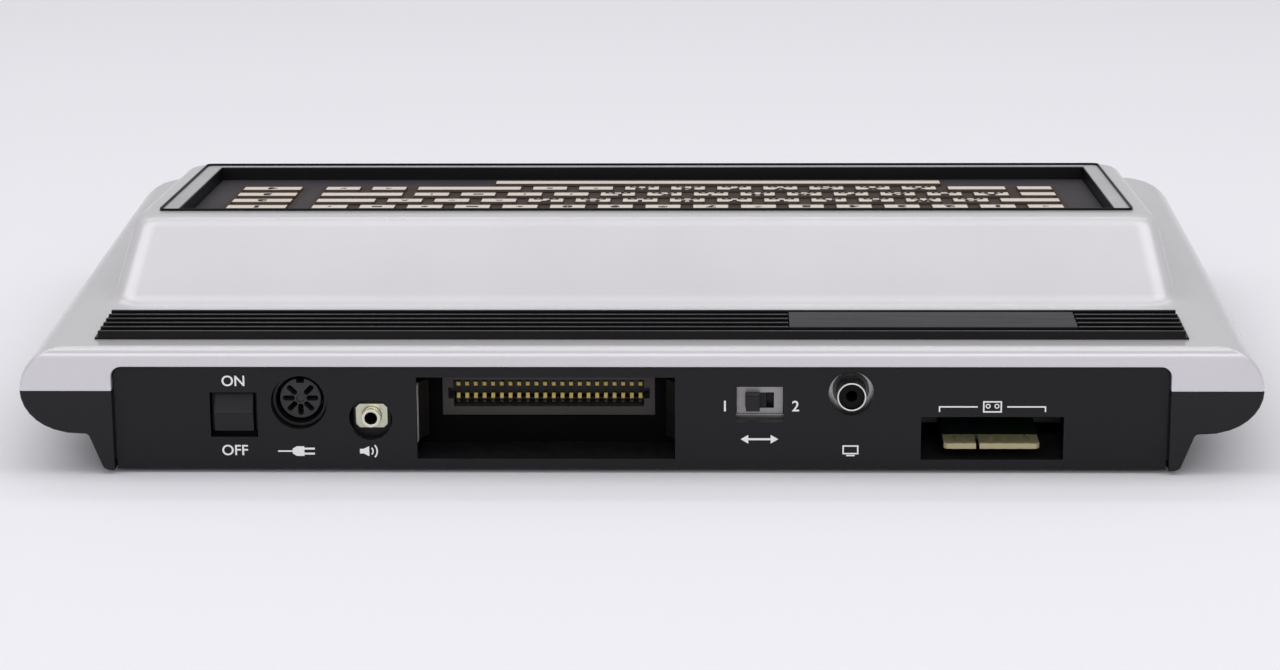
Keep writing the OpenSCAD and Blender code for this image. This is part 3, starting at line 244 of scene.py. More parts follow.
def use_effect(tree, group, **values):
    """Places an effect in a material with its own values."""
    node = tree.nodes.new("ShaderNodeGroup")
    node.node_tree = group
    for label, value in values.items():
        node.inputs[label].default_value = value
    return node


def relief(tree, height, depth):
    """Runs a height into the shader's normal, depth from its lowest to its highest."""
    bump = tree.nodes.new("ShaderNodeBump")
    bump.inputs["Distance"].default_value = depth
    tree.links.new(height, bump.inputs["Height"])
    tree.links.new(bump.outputs["Normal"], tree.nodes["Principled BSDF"].inputs["Normal"])


def moulded(name, colour, tone, roughness, grain=2600, depth=0.02 * MM, metallic=0.0, coat=0.0,
            coat_blur=0.2, shine=0.5, worn=None, wear_width=0.5 * MM, dust=0.0):
    """Plastic, paint, film or rubber: two close tones in patches, grain, worn edges and dust."""
    material = bpy.data.materials.new(name)
    material.use_nodes = True
    tree = material.node_tree
    shader = tree.nodes["Principled BSDF"]
    shader.inputs["Metallic"].default_value = metallic
    shader.inputs["Specular IOR Level"].default_value = shine
    shader.inputs["Coat Weight"].default_value = coat
    shader.inputs["Coat Roughness"].default_value = coat_blur
    surface = use_effect(tree, SURFACE_GRAIN, Scale=grain)
    tint = shade(tree, surface.outputs["Patches"], colour, tone)
    if worn:
        wear_and_highlight = use_effect(tree, EDGE_WEAR, Width=wear_width)
        tint = shade(tree, wear_and_highlight.outputs["Mask"], tint, worn)
    if dust:
        settled = use_effect(tree, SETTLED_DUST, Amount=dust)
        tint = shade(tree, settled.outputs["Mask"], tint, DUST_GREY)
    tree.links.new(tint, shader.inputs["Base Color"])
    gloss = spread(tree, surface.outputs["Patches"], 0, 1, roughness - 0.03, roughness + 0.05)
    tree.links.new(gloss, shader.inputs["Roughness"])
    relief(tree, surface.outputs["Height"], depth)
    return material


def dress(node, material, edge):
    """Finish for a construction piece, and where edge is given, smooth curves and broken edges."""
    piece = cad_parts[node]
    for slot in piece.material_slots:
        slot.material = material
    if not edge:
        return
    piece.data.polygons.foreach_set("use_smooth", [True] * len(piece.data.polygons))
    piece.modifiers.new("weld", "WELD").merge_threshold = WELD_DISTANCE
    flat = piece.modifiers.new("flat_faces", "DECIMATE")
    flat.decimate_type = "DISSOLVE"
    flat.angle_limit = FLAT_ANGLE
    broken = piece.modifiers.new("broken_edges", "BEVEL")
    broken.width = edge
    broken.segments = 2
    broken.limit_method = "ANGLE"
    broken.angle_limit = SHARP_ANGLE
    broken.use_clamp_overlap = False
    normals = piece.modifiers.new("normals", "WEIGHTED_NORMAL")
    normals.weight = 80
    normals.keep_sharp = False


shell_black = moulded("shell_black", screen(28, 26, 30), screen(25, 23, 26), 0.42, grain=3200,
                      depth=0.03 * MM, shine=0.25, worn=screen(56, 54, 58), dust=0.06)
dress("bottom_shell", shell_black, 0.3 * MM)

# ---------- Rubber feet ----------
# Four black rubber discs pressed into round seats in the tub's underside.
# They carry the machine and keep it from sliding on a desk.
foot_rubber = moulded("foot_rubber", screen(42, 41, 42), screen(52, 50, 49), 0.75, grain=1500,
                      depth=0.05 * MM, dust=0.3)
dress("rubber_feet", foot_rubber, 0.5 * MM)

# ---------- Main board ----------
# Glass-fibre board under green lacquer, screwed to six posts. Its tongue reaches into the cassette
# port, with six tin-lead strips above and below as contacts and a slot that keys the plug.
TRACK_PITCH = 2.54 * MM
TONGUE_MARGIN = 2.55 * MM
LACQUER_EDGE = 0.05 * MM


def between(tree, value, low, high, edge):
    """Mask that is 1 from low to high and fades out over edge to both sides of each."""
    return times(tree, spread(tree, value, low - edge, low + edge),
                 spread(tree, value, high - edge, high + edge, 1.0, 0.0))


def lacquered(name, colour, copper, laminate, tongue):
    """Board lacquer over copper tracks, without tracks on cut edges, that leaves the tongue bare."""
    material = moulded(name, colour, colour, 0.32, grain=900, depth=0.01 * MM, coat=0.3)
    tree = material.node_tree
    tracks = tree.nodes.new("ShaderNodeTexBrick")
    tracks.inputs["Scale"].default_value = 1 / TRACK_PITCH
    tracks.inputs["Mortar Size"].default_value = 0.12
    tracks.inputs["Row Height"].default_value = 0.5
    tracks.inputs["Brick Width"].default_value = 9
    tree.links.new(object_place(tree), tracks.inputs["Vector"])
    laid = shade(tree, tracks.outputs["Fac"], colour, copper)
    facing = tree.nodes.new("ShaderNodeSeparateXYZ")
    tree.links.new(tree.nodes.new("ShaderNodeNewGeometry").outputs["Normal"], facing.inputs[0])
    flat = spread(tree, times(tree, facing.outputs["Z"], facing.outputs["Z"]), 0.3, 0.6)
    place = tree.nodes.new("ShaderNodeSeparateXYZ")
    tree.links.new(object_place(tree), place.inputs[0])
    left, right, front = tongue
    beside = between(tree, place.outputs["X"], left, right, LACQUER_EDGE)
    behind = spread(tree, place.outputs["Y"], front - 2 * LACQUER_EDGE, front)
    painted = shade(tree, flat, colour, laid)
    finish = shade(tree, times(tree, beside, behind), painted, laminate)
    tree.links.new(finish, tree.nodes["Principled BSDF"].inputs["Base Color"])
    return material


strips_low, strips_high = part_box("cassette_contacts")
tongue = (strips_low.x - TONGUE_MARGIN, strips_high.x + TONGUE_MARGIN, strips_low.y)
board_green = lacquered("board_green", screen(12, 26, 16), screen(20, 38, 24), screen(168, 160, 122), tongue)
dress("main_board", board_green, 0.1 * MM)


def plated(name, colour, tone, roughness, along=(1, 1, 1), streaks=900, depth=0.004 * MM, metallic=1.0):
    """Bare or plated metal with fine rolling marks; along is small where the marks are long."""
    material = bpy.data.materials.new(name)
    material.use_nodes = True
    tree = material.node_tree
    shader = tree.nodes["Principled BSDF"]
    shader.inputs["Metallic"].default_value = metallic
    marks = noise(tree, object_place(tree, along), streaks, detail=3, roughness=0.6)
    stains = use_effect(tree, SURFACE_GRAIN, Scale=streaks)
    tree.links.new(shade(tree, stains.outputs["Patches"], colour, tone), shader.inputs["Base Color"])
    gloss = spread(tree, marks, 0.2, 0.8, roughness - 0.06, roughness + 0.1)
    tree.links.new(gloss, shader.inputs["Roughness"])
    relief(tree, marks, depth)
    return material


tinned_strip = plated("tinned_strip", screen(176, 169, 132), screen(164, 156, 118), 0.3,
                      along=(1, 0.1, 1), metallic=0.3)
dress("cassette_contacts", tinned_strip, 0.02 * MM)

# ---------- Chips and small parts on the board ----------
# The processor and its helpers sit in plastic or ceramic dual in-line cases. Round them stand the
# crystal, the capacitors in blue sleeves, the resistors, and the regulator on its finned sink.
chip_black = moulded("chip_black", screen(38, 37, 38), screen(44, 43, 43), 0.5, grain=5000, dust=0.25)
chip_ceramic = moulded("chip_ceramic", screen(150, 140, 132), screen(138, 128, 120), 0.6, grain=4000)
for chip in ("processor", "sound_chip", "interface_chip", "memory_chips", "logic_chips"):
    dress(chip, chip_black, 0.12 * MM)
dress("voltage_regulator", chip_black, 0.12 * MM)
dress("video_chip", chip_ceramic, 0.12 * MM)

tinned_steel = plated("tinned_steel", screen(188, 187, 186), screen(168, 167, 166), 0.32, along=(0.08, 1, 1))
dress("crystal", tinned_steel, 0.3 * MM)

sink_black = plated("sink_black", screen(52, 52, 55), screen(44, 44, 47), 0.45, along=(1, 1, 0.1))
dress("heat_sink", sink_black, 0.2 * MM)

capacitor_sleeve = moulded("capacitor_sleeve", screen(44, 62, 118), screen(38, 54, 104), 0.3,
                           grain=1200, coat=0.3)
dress("capacitors", capacitor_sleeve, 0.4 * MM)

resistor_body = moulded("resistor_body", screen(196, 164, 120), screen(178, 146, 104), 0.5, grain=3000)
dress("resistors", resistor_body, 0.15 * MM)

# ---------- Modulator ----------
# Tin-plated steel can with a folded lid, soldered to the board behind the back panel. A small
# paper board inside it carries four tuned coils, and its face carries the jack and the switch.
dress("rf_modulator", tinned_steel, 0.15 * MM)
dress("modulator_lid", tinned_steel, 0.2 * MM)
paper_board = moulded("paper_board", screen(172, 138, 86), screen(158, 124, 74), 0.5, grain=1800)
dress("modulator_board", paper_board, 0.1 * MM)
coil_former = moulded("coil_former", screen(92, 128, 96), screen(78, 112, 84), 0.45, grain=2000)
dress("modulator_coils", coil_former, 0.15 * MM)

# ---------- Television jack ----------
# Nickel-plated brass sleeve riveted to the modulator's face, with a black insulator whose bore takes the
# plug's centre pin.
# The sleeve is coloured dark as painted shade with a painted highlight on its rim; the insulator is darker
# as painted shade.
HIGHLIGHT_FADE = 0.1 * MM


# Painted light: a dark colour stands in for shade, and a bright band along Y stands in for a highlight.
def shaded_with_painted_highlight(name, highlight_colour, shade_colour, reach, roughness, metallic=1.0, band=1.0):
    """Metal coloured dark all over as painted shade, with a painted highlight band that starts at reach."""
    material = plated(name, shade_colour, shade_colour, roughness, streaks=1400, depth=0.001 * MM, metallic=metallic)
    tree = material.node_tree
    place = tree.nodes.new("ShaderNodeSeparateXYZ")
    tree.links.new(object_place(tree), place.inputs[0])
    # Painted highlight band, faded out over HIGHLIGHT_FADE at both ends.
    wear_and_highlight = between(tree, place.outputs["Y"], reach, reach + band, HIGHLIGHT_FADE)
    tree.links.new(shade(tree, wear_and_highlight, shade_colour, highlight_colour), tree.nodes["Principled BSDF"].inputs["Base Color"])
    return material


# Sleeve coloured dark grey as painted shade, with a painted highlight band on its rim nearest the back
# panel.
tv_nickel_painted_light = shaded_with_painted_highlight("tv_nickel_painted_light", screen(226, 224, 218), screen(70, 69, 69),
                      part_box("tv_jack_sleeve")[1].y - 0.5 * MM, 0.22)
dress("tv_jack_sleeve", tv_nickel_painted_light, 0.12 * MM)
jack_black = moulded("jack_black", screen(27, 26, 28), screen(22, 21, 23), 0.38, grain=3000,
                     depth=0.01 * MM, shine=0.3)
# Insulator coloured darker than the jack body, as painted shade in the bore.
bore_painted_shade = moulded("bore_painted_shade", screen(14, 13, 15), screen(11, 10, 12), 0.5, grain=3000,
                     depth=0.01 * MM, shine=0.1)
dress("tv_jack_insulator", bore_painted_shade, 0.12 * MM)

# ---------- Channel switch ----------
# Slide switch with a plated front plate on the modulator's face. Its black slider stands through
# the slot in the plate and out of the back panel, and is pushed across with a fingertip.
switch_plate = plated("switch_plate", screen(158, 156, 158), screen(140, 138, 140), 0.3, along=(0.1, 1, 1))
dress("channel_switch_plate", switch_plate, 0.08 * MM)
dress("channel_switch_body", jack_black, 0.1 * MM)
switch_black = moulded("switch_black", screen(25, 23, 27), screen(22, 20, 24), 0.36, grain=2600,
                       depth=0.02 * MM, shine=0.3, worn=screen(60, 58, 62), dust=0.06)
dress("channel_slider", switch_black, 0.2 * MM)

# ---------- Cartridge connector ----------
# Edge connector in dark phenolic resin, with 22 gold-flashed leaves above and 22 below the slot.
# Plain walls guide the cartridge to it, and a bowed steel spring earths it at each side.
phenolic = moulded("phenolic", screen(70, 65, 64), screen(60, 56, 55), 0.4, grain=2200, shine=0.3, dust=0.1)
dress("cartridge_socket", phenolic, 0.25 * MM)
# Leaves coloured near black as painted shade, with a painted gold glint in a band near their tips.
contacts_painted_glint = shaded_with_painted_highlight("contacts_painted_glint", screen(255, 226, 140), screen(30, 25, 20),
                        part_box("cartridge_contacts")[1].y - 1.3 * MM, 0.3, metallic=0.1, band=0.8 * MM)
dress("cartridge_contacts", contacts_painted_glint, 0.08 * MM)
# Guide coloured darker than its black plastic, as painted shade inside the cartridge slot.
guide_painted_shade = moulded("guide_painted_shade", screen(7, 6, 8), screen(5, 5, 6), 0.6, grain=2600, shine=0.06)
dress("cartridge_guide", guide_painted_shade, 0.2 * MM)
# Springs coloured dark as painted shade, with a painted highlight band at their ends nearest the back panel.
spring_painted_glint = shaded_with_painted_highlight("spring_painted_glint", screen(244, 240, 236), screen(34, 32, 31),
                         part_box("cartridge_springs")[1].y - 3.4 * MM, 0.3, metallic=0.4)
dress("cartridge_springs", spring_painted_glint, 0.05 * MM)

# ---------- Power switch ----------
# Rocker switch on the board that comes up to the panel's opening. The rocker tips on a pin between
# two cheeks, and its two plain faces meet in a ridge.
dress("power_switch_body", jack_black, 0.15 * MM)
dress("power_rocker", switch_black, 0.25 * MM)

# ---------- Power socket ----------
# Round seven-way socket in black plastic with a grey insert. Its contacts are rolled brass
# sleeves set back in slots that point to the middle.
dress("power_socket_body", jack_black, 0.2 * MM)
socket_grey = moulded("socket_grey", screen(58, 57, 60), screen(50, 49, 52), 0.45, grain=2400, shine=0.3)
dress("power_socket_insert", socket_grey, 0.12 * MM)
# Brass coloured much darker than brass, as painted shade in the set-back slots.
brass_painted_shade = plated("brass_painted_shade", screen(58, 50, 36), screen(46, 40, 30), 0.4, streaks=1800)
dress("power_socket_contacts", brass_painted_shade, 0.05 * MM)

# ---------- Audio jack ----------
# Small jack soldered to the board: a black body, a plate with cut corners and a turned sleeve
# that holds the plug.
dress("audio_jack_body", jack_black, 0.2 * MM)
jack_plate = plated("jack_plate", screen(214, 212, 194), screen(196, 194, 172), 0.3)
dress("audio_jack_plate", jack_plate, 0.08 * MM)
bright_nickel = plated("bright_nickel", screen(228, 226, 212), screen(212, 210, 194), 0.22,
                       streaks=1400, depth=0.001 * MM)
dress("audio_jack_sleeve", bright_nickel, 0.2 * MM)

# ---------- Control ports ----------
# Two nine-way plugs for joysticks in a recess of the right side, each a drawn steel shell round
# a black insert with gold-flashed pins.
dress("control_port_shells", tinned_steel, 0.12 * MM)
dress("control_port_inserts", jack_black, 0.12 * MM)
gold_flash = plated("gold_flash", screen(226, 186, 96), screen(204, 158, 72), 0.22, streaks=1800)
dress("control_port_pins", gold_flash, 0.12 * MM)

# ---------- Back panel ----------
# Black moulded plate let into both shells, whose flange lies behind their walls. Its markings are
# screen-printed in white: words for the power switch, numbers and plain signs for the rest.
PRINT_DEPTH = 0.03 * MM
CAP_HEIGHT = 3.15 * MM
CAP_WEIGHT = 0.012
SIGN_LINE = 0.42 * MM

panel_black = moulded("panel_black", screen(25, 23, 27), screen(22, 20, 24), 0.4, grain=3400,
                      depth=0.025 * MM, shine=0.22, worn=screen(52, 50, 54))
dress("rear_panel", panel_black, 0)
print_white = moulded("print_white", screen(240, 240, 238), screen(230, 230, 228), 0.5, grain=4000)


def new_piece(name, bm, material, body):
    """Object from a finished bmesh, in its place, with its finish, riding on a body."""
    mesh = bpy.data.meshes.new(name)
    bm.to_mesh(mesh)
    bm.free()
    mesh.materials.append(material)
    piece = bpy.data.objects.new(name, mesh)
    bpy.context.scene.collection.objects.link(piece)
    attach(piece, body)
    return piece


def flat_curve(name):
    """Flat curve whose outlines fill, and whose inner outlines stay open."""
    curve = bpy.data.curves.new(name, "CURVE")
    curve.dimensions = "2D"
    curve.fill_mode = "BOTH"
    curve.extrude = PRINT_DEPTH / 2
    return curve


def outline(curve, points):
    """Adds a closed outline to a flat curve."""
    line = curve.splines.new("POLY")
    line.points.add(len(points) - 1)
    for point, (x, y) in zip(line.points, points):
        point.co = (x, y, 0, 1)
    line.use_cyclic_u = True


def oblong(curve, x, y, width, height):
    half, tall = width / 2, height / 2
    outline(curve, [(x - half, y - tall), (x + half, y - tall), (x + half, y + tall), (x - half, y + tall)])


def frame_of(curve, x, y, width, height, line=SIGN_LINE):
    oblong(curve, x, y, width, height)
    oblong(curve, x, y, width - 2 * line, height - 2 * line)


def disc(curve, x, y, radius, steps=32):
    outline(curve, [(x + radius * math.cos(2 * math.pi * k / steps),
                     y + radius * math.sin(2 * math.pi * k / steps)) for k in range(steps)])


def ring(curve, x, y, radius, line=SIGN_LINE):
    disc(curve, x, y, radius)
    disc(curve, x, y, radius - line)


def bow(curve, x, y, radius, reach, line=SIGN_LINE, steps=10):
    """Arc of a ring, open to the left."""
    turns = [math.radians(-reach + 2 * reach * k / steps) for k in range(steps + 1)]
    outer = [(x + radius * math.cos(a), y + radius * math.sin(a)) for a in turns]
    radius -= line
    inner = [(x + radius * math.cos(a), y + radius * math.sin(a)) for a in reversed(turns)]
    outline(curve, outer + inner)


def as_mesh(curve):
    """Mesh of a curve or text, with its doubles merged."""
    holder = bpy.data.objects.new(curve.name, curve)
    bpy.context.scene.collection.objects.link(holder)
    mesh = bpy.data.meshes.new_from_object(holder.evaluated_get(bpy.context.evaluated_depsgraph_get()))
    bpy.data.objects.remove(holder)
    bpy.data.curves.remove(curve)
    bm = bmesh.new()
    bm.from_mesh(mesh)
    bpy.data.meshes.remove(mesh)
    bmesh.ops.remove_doubles(bm, verts=bm.verts[:], dist=0.001 * MM)
    return bm


def lettering(text, height, weight):
    """Text as a bmesh, centred on the origin and height tall, its strokes widened by weight."""
    letters = bpy.data.curves.new("lettering", "FONT")
    letters.body = text
    letters.offset = weight
    letters.extrude = PRINT_DEPTH / 2 / height
    letters.size = 1
    bm = as_mesh(letters)
    low = Vector([min(v.co[i] for v in bm.verts) for i in range(3)])
    high = Vector([max(v.co[i] for v in bm.verts) for i in range(3)])
    bmesh.ops.translate(bm, verts=bm.verts[:], vec=-(low + high) / 2)
    size = height / (high.y - low.y)
    bmesh.ops.scale(bm, verts=bm.verts[:], vec=(size, size, height))
    return bm


PANEL_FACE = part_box("rear_panel")[1].y
FACING_BACK = Matrix(((-1, 0, 0, 0), (0, 0, 1, 0), (0, 1, 0, 0), (0, 0, 0, 1)))


def print_on_panel(name, bm, x, height):
    """Puts a flat marking on the panel's face, its middle at x and height above the desk."""
    place = Matrix.Translation((x, PANEL_FACE + PRINT_DEPTH / 2, height)) @ FACING_BACK
    bmesh.ops.transform(bm, verts=bm.verts[:], matrix=place)
    new_piece(name, bm, print_white, "case")


def plug_sign():
    """Round plug seen from the side, with two pins and its lead."""
    sign = flat_curve("plug_sign")
    half = [(-6.0, 0.21), (-1.8, 0.21), (-1.8, 0.7), (-0.6, 1.45), (1.6, 1.45), (1.6, 1.04),
            (4.6, 1.04), (4.6, 0.46), (1.6, 0.46)]
    whole = half + [(x, -y) for x, y in reversed(half)]
    outline(sign, [(x * MM, y * MM) for x, y in whole])
    return as_mesh(sign)


def speaker_sign():
    """Loudspeaker with two waves."""
    sign = flat_curve("speaker_sign")
    outline(sign, [(-3.2 * MM, -0.7 * MM), (-2.1 * MM, -0.7 * MM), (-0.5 * MM, -1.5 * MM),
                   (-0.5 * MM, 1.5 * MM), (-2.1 * MM, 0.7 * MM), (-3.2 * MM, 0.7 * MM)])
    for radius in (1.7, 2.9):
        bow(sign, -0.9 * MM, 0, radius * MM, 42)
    return as_mesh(sign)


def two_way_arrow():
    sign = flat_curve("two_way_arrow")
    half, head, tall, stem = 5.4 * MM, 2.2 * MM, 1.3 * MM, 0.3 * MM
    outline(sign, [(-half, 0), (head - half, -tall), (head - half, -stem), (half - head, -stem),
                   (half - head, -tall), (half, 0), (half - head, tall), (half - head, stem),
                   (head - half, stem), (head - half, tall)])
    return as_mesh(sign)


def screen_sign():
    """Television set on its foot."""
    sign = flat_curve("screen_sign")
    frame_of(sign, 0, 0.35 * MM, 4.6 * MM, 2.7 * MM)
    oblong(sign, 0, -1.35 * MM, 2.4 * MM, SIGN_LINE)
    return as_mesh(sign)


def cassette_sign():
    """Cassette with its two hubs, between two short rules."""
    sign = flat_curve("cassette_sign")
    frame_of(sign, 0, 0, 5.4 * MM, 3.4 * MM)
    for side in (-1, 1):
        ring(sign, side * 1.25 * MM, 0.2 * MM, 0.72 * MM, 0.3 * MM)
        rule = [(4.2, 0.2), (4.2, -0.2), (14.9, -0.2), (14.9, -1.5), (15.3, -1.5), (15.3, 0.2)]
        outline(sign, [(side * x * MM, y * MM) for x, y in rule])
    return as_mesh(sign)


print_on_panel("print_on", lettering("ON", CAP_HEIGHT, CAP_WEIGHT), 116.5 * MM, 27.5 * MM)
print_on_panel("print_off", lettering("OFF", CAP_HEIGHT, CAP_WEIGHT), 116.6 * MM, 6.8 * MM)
print_on_panel("print_plug", plug_sign(), 98.2 * MM, 6.5 * MM)
print_on_panel("print_speaker", speaker_sign(), 77.4 * MM, 6.5 * MM)
print_on_panel("print_one", lettering("1", CAP_HEIGHT, CAP_WEIGHT), -24.4 * MM, 20.1 * MM)
print_on_panel("print_two", lettering("2", CAP_HEIGHT, CAP_WEIGHT), -44.6 * MM, 20.1 * MM)
print_on_panel("print_two_way", two_way_arrow(), -34.3 * MM, 10.2 * MM)
print_on_panel("print_screen", screen_sign(), -60.4 * MM, 6.7 * MM)
print_on_panel("print_cassette", cassette_sign(), -100.8 * MM, 19.9 * MM)

# ---------- Top shell ----------
# Rim, brim and raised deck are one ABS moulding, sprayed outside with satin silver paint that
# holds fine metal flakes. It is held from below by six screws.
shell_silver = moulded("shell_silver", screen(212, 210, 214), screen(208, 206, 210), 0.3, grain=5200,
                       depth=0.001 * MM, metallic=0.3, coat=0.45, coat_blur=0.16,
                       worn=screen(226, 225, 228), dust=0.05)
dress("top_shell", shell_silver, 0.35 * MM)

# ---------- Cooling grille ----------
# Black moulding with six long bars over the slot in the brim, held by its ledge. A bare plate
# with a satin face is let into its inner bars.
grille_black = moulded("grille_black", screen(10, 9, 12), screen(8, 7, 10), 0.34, grain=3000,
                       depth=0.015 * MM, shine=0.18, worn=screen(44, 42, 46),
                       wear_width=0.4 * MM, dust=0.05)
dress("cooling_grille", grille_black, 0.2 * MM)
badge_grey = plated("badge_grey", screen(46, 45, 49), screen(41, 40, 44), 0.42,
                    along=(0.02, 1, 1), streaks=2200)
dress("badge_plate", badge_grey, 0.2 * MM)

# ---------- Membrane keyboard ----------
# Layers from below: a steel plate, a printed circuit film, a spacer film and the printed key sheet
# with its raised pads. A black frame closes the opening round them, under a grey painted rim.
EDGING_WIDTH = 0.35 * MM
EDGING_RISE = 0.7 * MM
EDGING_SINK = 0.5 * MM
EDGING_RADIUS = 1.8 * MM
BLOCK_MARGIN = 1.8 * MM
KEY_BORDER = 1.8 * MM
INK_DEPTH = 0.03 * MM
LEGENDS = ["<1234567890+-#=/", " QWERTYUIOP@*^ ", " ASDFGHJKL:;=! ", "  ZXCVBNM,. <>"]
LEGEND_HEIGHT = 4.6 * MM
LEGEND_WEIGHT = 0.07
LEGEND_RISE = 1.6 * MM
MARK_SIZE = 3.0 * MM
MARK_LINE = 1.0 * MM
MARK_ASIDE = 2.5 * MM
MARK_DROP = 2.7 * MM

dress("keyboard_plate", tinned_steel, 0.1 * MM)
amber_film = moulded("amber_film", screen(196, 130, 62), screen(182, 116, 52), 0.35, grain=1500, coat=0.3)
dress("key_circuit", amber_film, 0.02 * MM)
dress("keyboard_tail", amber_film, 0.02 * MM)
clear_film = moulded("clear_film", screen(224, 220, 204), screen(214, 209, 190), 0.3, grain=1500, coat=0.3)
dress("key_spacer", clear_film, 0.02 * MM)
socket_ivory = moulded("socket_ivory", screen(222, 216, 198), screen(210, 203, 184), 0.45, grain=2400)
dress("keyboard_socket", socket_ivory, 0.2 * MM)

sheet_grey = moulded("sheet_grey", screen(62, 59, 64), screen(55, 52, 57), 0.55, grain=3800,
                     depth=0.02 * MM, shine=0.12)
dress("key_sheet", sheet_grey, 0.05 * MM)
frame_black = moulded("frame_black", screen(12, 11, 14), screen(10, 9, 12), 0.4, grain=2800, shine=0.15)
dress("keyboard_frame", frame_black, 0.15 * MM)
bezel_grey = moulded("bezel_grey", screen(198, 196, 200), screen(176, 174, 178), 0.36, grain=4200,
                     depth=0.01 * MM, metallic=0.2, worn=screen(200, 199, 202), dust=0.1)
dress("keyboard_bezel", bezel_grey, 0.2 * MM)


def deck_place():
    """Matrix from the key sheet's own plane to the frame, with its middle as origin."""
    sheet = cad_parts["key_sheet"].data
    top = [p for p in sheet.polygons if p.normal.z > 0.9]
    corners = [sheet.vertices[i].co for p in top for i in p.vertices]
    middle = (Vector(map(min, zip(*corners))) + Vector(map(max, zip(*corners)))) / 2
    out = top[0].normal.normalized()
    across = Vector((1, 0, 0))
    return Matrix.Translation(middle) @ Matrix((across, out.cross(across), out)).transposed().to_4x4()


def key_spots(node, deck):
    """Middle and size of each key on the sheet, in rows from the back, each from left to right."""
    bm = bmesh.new()
    bm.from_mesh(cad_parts[node].data)
    bmesh.ops.remove_doubles(bm, verts=bm.verts[:], dist=WELD_DISTANCE)
    bmesh.ops.transform(bm, verts=bm.verts[:], matrix=deck.inverted())
    left, rows = set(bm.verts), {}
    while left:
        key, reached = [], [left.pop()]
        while reached:
            vertex = reached.pop()
            key.append(vertex.co.copy())
            found = {e.other_vert(vertex) for e in vertex.link_edges} & left
            left -= found
            reached += found
        low, high = Vector(map(min, zip(*key))), Vector(map(max, zip(*key)))
        rows.setdefault(round((low.y + high.y) / 2 / MM), []).append(((low + high) / 2, high - low))
    bm.free()
    return [sorted(rows[y], key=lambda spot: spot[0].x) for y in sorted(rows, reverse=True)]


def opening_edging(deck):
    """Rim of the black frame that shows round the bezel, a little proud of the deck."""
    bezel = [deck.inverted() @ v.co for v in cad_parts["keyboard_bezel"].data.vertices]
    half_w, half_len, top = (max(p[i] for p in bezel) for i in range(3))
    bm = bmesh.new()
    reach = Matrix.Diagonal((half_w + EDGING_WIDTH, half_len + EDGING_WIDTH, 1, 1))
    bmesh.ops.create_grid(bm, x_segments=1, y_segments=1, size=1, matrix=reach)
    bmesh.ops.bevel(bm, geom=bm.verts[:], offset=EDGING_RADIUS + EDGING_WIDTH, affect="VERTICES",
                    segments=6, profile=0.5, material=-1)
    inner = bm.faces[:]
    bmesh.ops.inset_region(bm, faces=inner, thickness=EDGING_WIDTH, use_boundary=True, use_even_offset=True)
    bmesh.ops.delete(bm, geom=inner, context="FACES_ONLY")
    bmesh.ops.translate(bm, verts=bm.verts[:], vec=(0, 0, top - EDGING_SINK))
    raised = bmesh.ops.extrude_face_region(bm, geom=bm.faces[:])["geom"]
    raised = [part for part in raised if isinstance(part, bmesh.types.BMVert)]
    bmesh.ops.translate(bm, verts=raised, vec=(0, 0, EDGING_SINK + EDGING_RISE))
    bmesh.ops.recalc_face_normals(bm, faces=bm.faces[:])
    bmesh.ops.transform(bm, verts=bm.verts[:], matrix=deck)
    return bm


deck = deck_place()
new_piece("keyboard_edging", opening_edging(deck), frame_black, "case")
main_rows = key_spots("key_pads", deck)
function_rows = key_spots("function_key_pads", deck)


def printed_key(name, colour, tone):
    """Cream film pressed up into keys: light on top, with the sheet's brown ink on the flanks."""
    material = moulded(name, colour, tone, 0.45, grain=3600, depth=0.015 * MM, dust=0.1)
    tree = material.node_tree
    base = tree.nodes["Principled BSDF"].inputs["Base Color"]
    lean = tree.nodes.new("ShaderNodeVectorMath")
    lean.operation = "DOT_PRODUCT"
    tree.links.new(tree.nodes.new("ShaderNodeNewGeometry").outputs["Normal"], lean.inputs[0])
    lean.inputs[1].default_value = deck.col[2].xyz
    field = base.links[0].from_socket
    top = spread(tree, lean.outputs["Value"], 0.8, 0.95)
    tree.links.new(shade(tree, top, screen(64, 52, 47), field), base)
    return material


dress("key_pads", printed_key("key_cream", screen(230, 218, 207), screen(221, 208, 196)), 0.25 * MM)
dress("function_key_pads", printed_key("key_tan", screen(232, 217, 203), screen(222, 206, 190)), 0.25 * MM)

ink_brown = moulded("ink_brown", screen(70, 57, 52), screen(62, 50, 46), 0.6, grain=3800, shine=0.1)
ink_dark = moulded("ink_dark", screen(34, 27, 25), screen(28, 22, 20), 0.6, grain=4000, shine=0.1)


def reach_of(row):
    """Left, right, front and back of a row of keys, with the margin of the printed block."""
    first, last = row[0], row[-1]
    return (first[0].x - first[1].x / 2 - BLOCK_MARGIN, last[0].x + last[1].x / 2 + BLOCK_MARGIN,
            first[0].y - first[1].y / 2 - BLOCK_MARGIN, first[0].y + first[1].y / 2 + BLOCK_MARGIN)


def printed_block(name, corners):
    """Brown ground printed on the key sheet round a block of keys."""
    bm = bmesh.new()
    ground = bm.faces.new([bm.verts.new((x, y, INK_DEPTH)) for x, y in corners])
    bmesh.ops.recalc_face_normals(bm, faces=[ground])
    if ground.normal.z < 0:
        bmesh.ops.reverse_faces(bm, faces=[ground])
    bmesh.ops.transform(bm, verts=bm.verts[:], matrix=deck)
    new_piece(name, bm, ink_brown, "case")


left, right, _, back = reach_of(main_rows[0])
_, _, front, _ = reach_of(main_rows[3])
bar_left, bar_right, bar_front, _ = reach_of(main_rows[4])
printed_block("main_key_block", [(left, back), (left, front), (bar_left, front), (bar_left, bar_front),
                                 (bar_right, bar_front), (bar_right, front), (right, front), (right, back)])
left, right, _, back = reach_of(function_rows[0])
_, _, front, _ = reach_of(function_rows[-1])
printed_block("function_key_block", [(left, back), (left, front), (right, front), (right, back)])


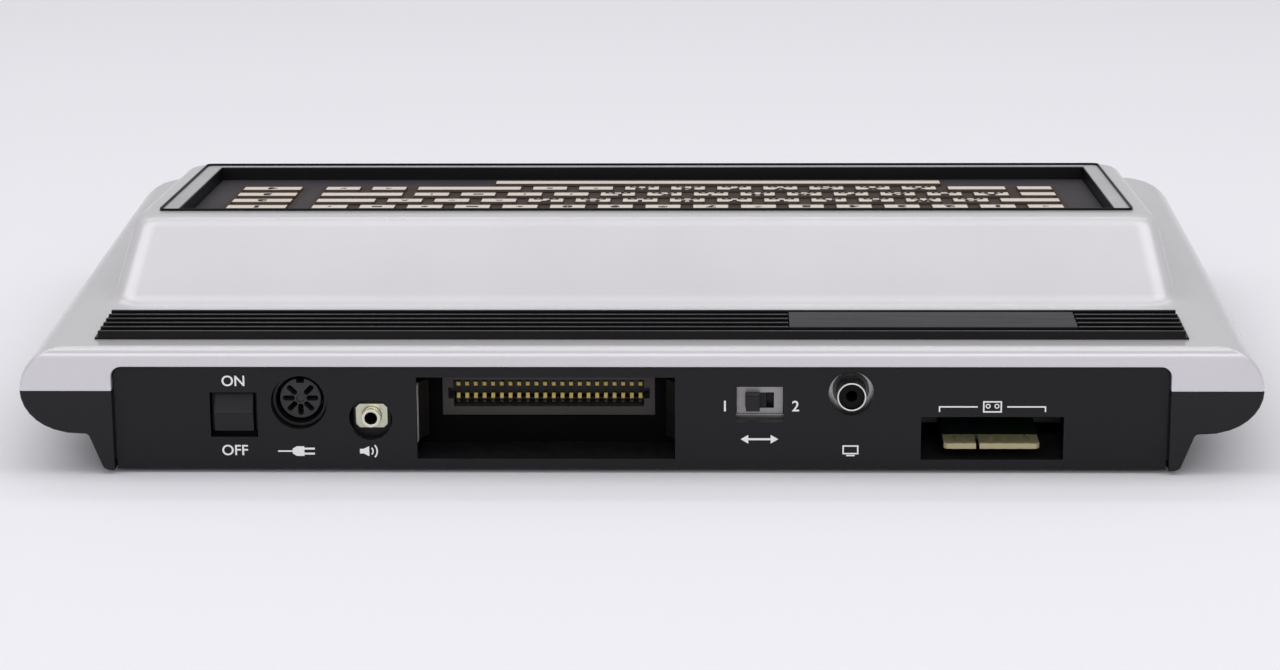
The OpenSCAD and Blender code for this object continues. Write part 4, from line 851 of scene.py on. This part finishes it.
def key_borders(name, rows):
    """Brown front and back border printed on each key, so that its light field is nearly square."""
    bm = bmesh.new()
    for middle, size in (spot for row in rows for spot in row):
        strip = Matrix.Diagonal((size.x, KEY_BORDER, INK_DEPTH, 1))
        for side in (-1, 1):
            aside = Vector((0, side * (size.y - KEY_BORDER) / 2, size.z / 2))
            bmesh.ops.create_cube(bm, size=1, matrix=deck @ Matrix.Translation(middle + aside) @ strip)
    new_piece(name, bm, ink_brown, "case")


key_borders("key_borders", main_rows)
key_borders("function_key_borders", function_rows)


def print_legends(name, rows, legends, marks):
    """Dark legends on the keys, and the small frames below the letters that hold no sign."""
    bm = bmesh.new()
    for row, legend in zip(rows, legends):
        for (middle, size), text in zip(row, legend):
            if text == " ":
                continue
            marked = marks and text.isalpha()
            glyph = lettering(text, LEGEND_HEIGHT if text.isalnum() else LEGEND_HEIGHT / 2, LEGEND_WEIGHT)
            parts = [(glyph, Vector((0, LEGEND_RISE if marked else 0, 0)))]
            for side in (-1, 1) if marked else ():
                curve = flat_curve("mark")
                frame_of(curve, 0, 0, MARK_SIZE, MARK_SIZE, MARK_LINE)
                parts.append((as_mesh(curve), Vector((side * MARK_ASIDE, -MARK_DROP, 0))))
            for part, shift in parts:
                spot = middle + Vector((0, 0, (size.z + INK_DEPTH) / 2)) + shift
                bmesh.ops.transform(part, verts=part.verts[:], matrix=deck @ Matrix.Translation(spot))
                mesh = bpy.data.meshes.new("part")
                part.to_mesh(mesh)
                part.free()
                bm.from_mesh(mesh)
                bpy.data.meshes.remove(mesh)
    new_piece(name, bm, ink_dark, "case")


print_legends("key_legends", main_rows, LEGENDS, True)
print_legends("function_key_legends", function_rows, "1234", False)

# ---------- Screws ----------
# Zinc-plated screws: six hold the shells together from below, six hold the board to its posts and
# six small ones hold the keyboard plate to its frame.
screw_zinc = plated("screw_zinc", screen(178, 178, 180), screen(160, 158, 154), 0.34, streaks=1200)
dress("case_screws", screw_zinc, 0.25 * MM)
dress("board_screws", screw_zinc, 0.25 * MM)
dress("keyboard_screws", screw_zinc, 0.15 * MM)
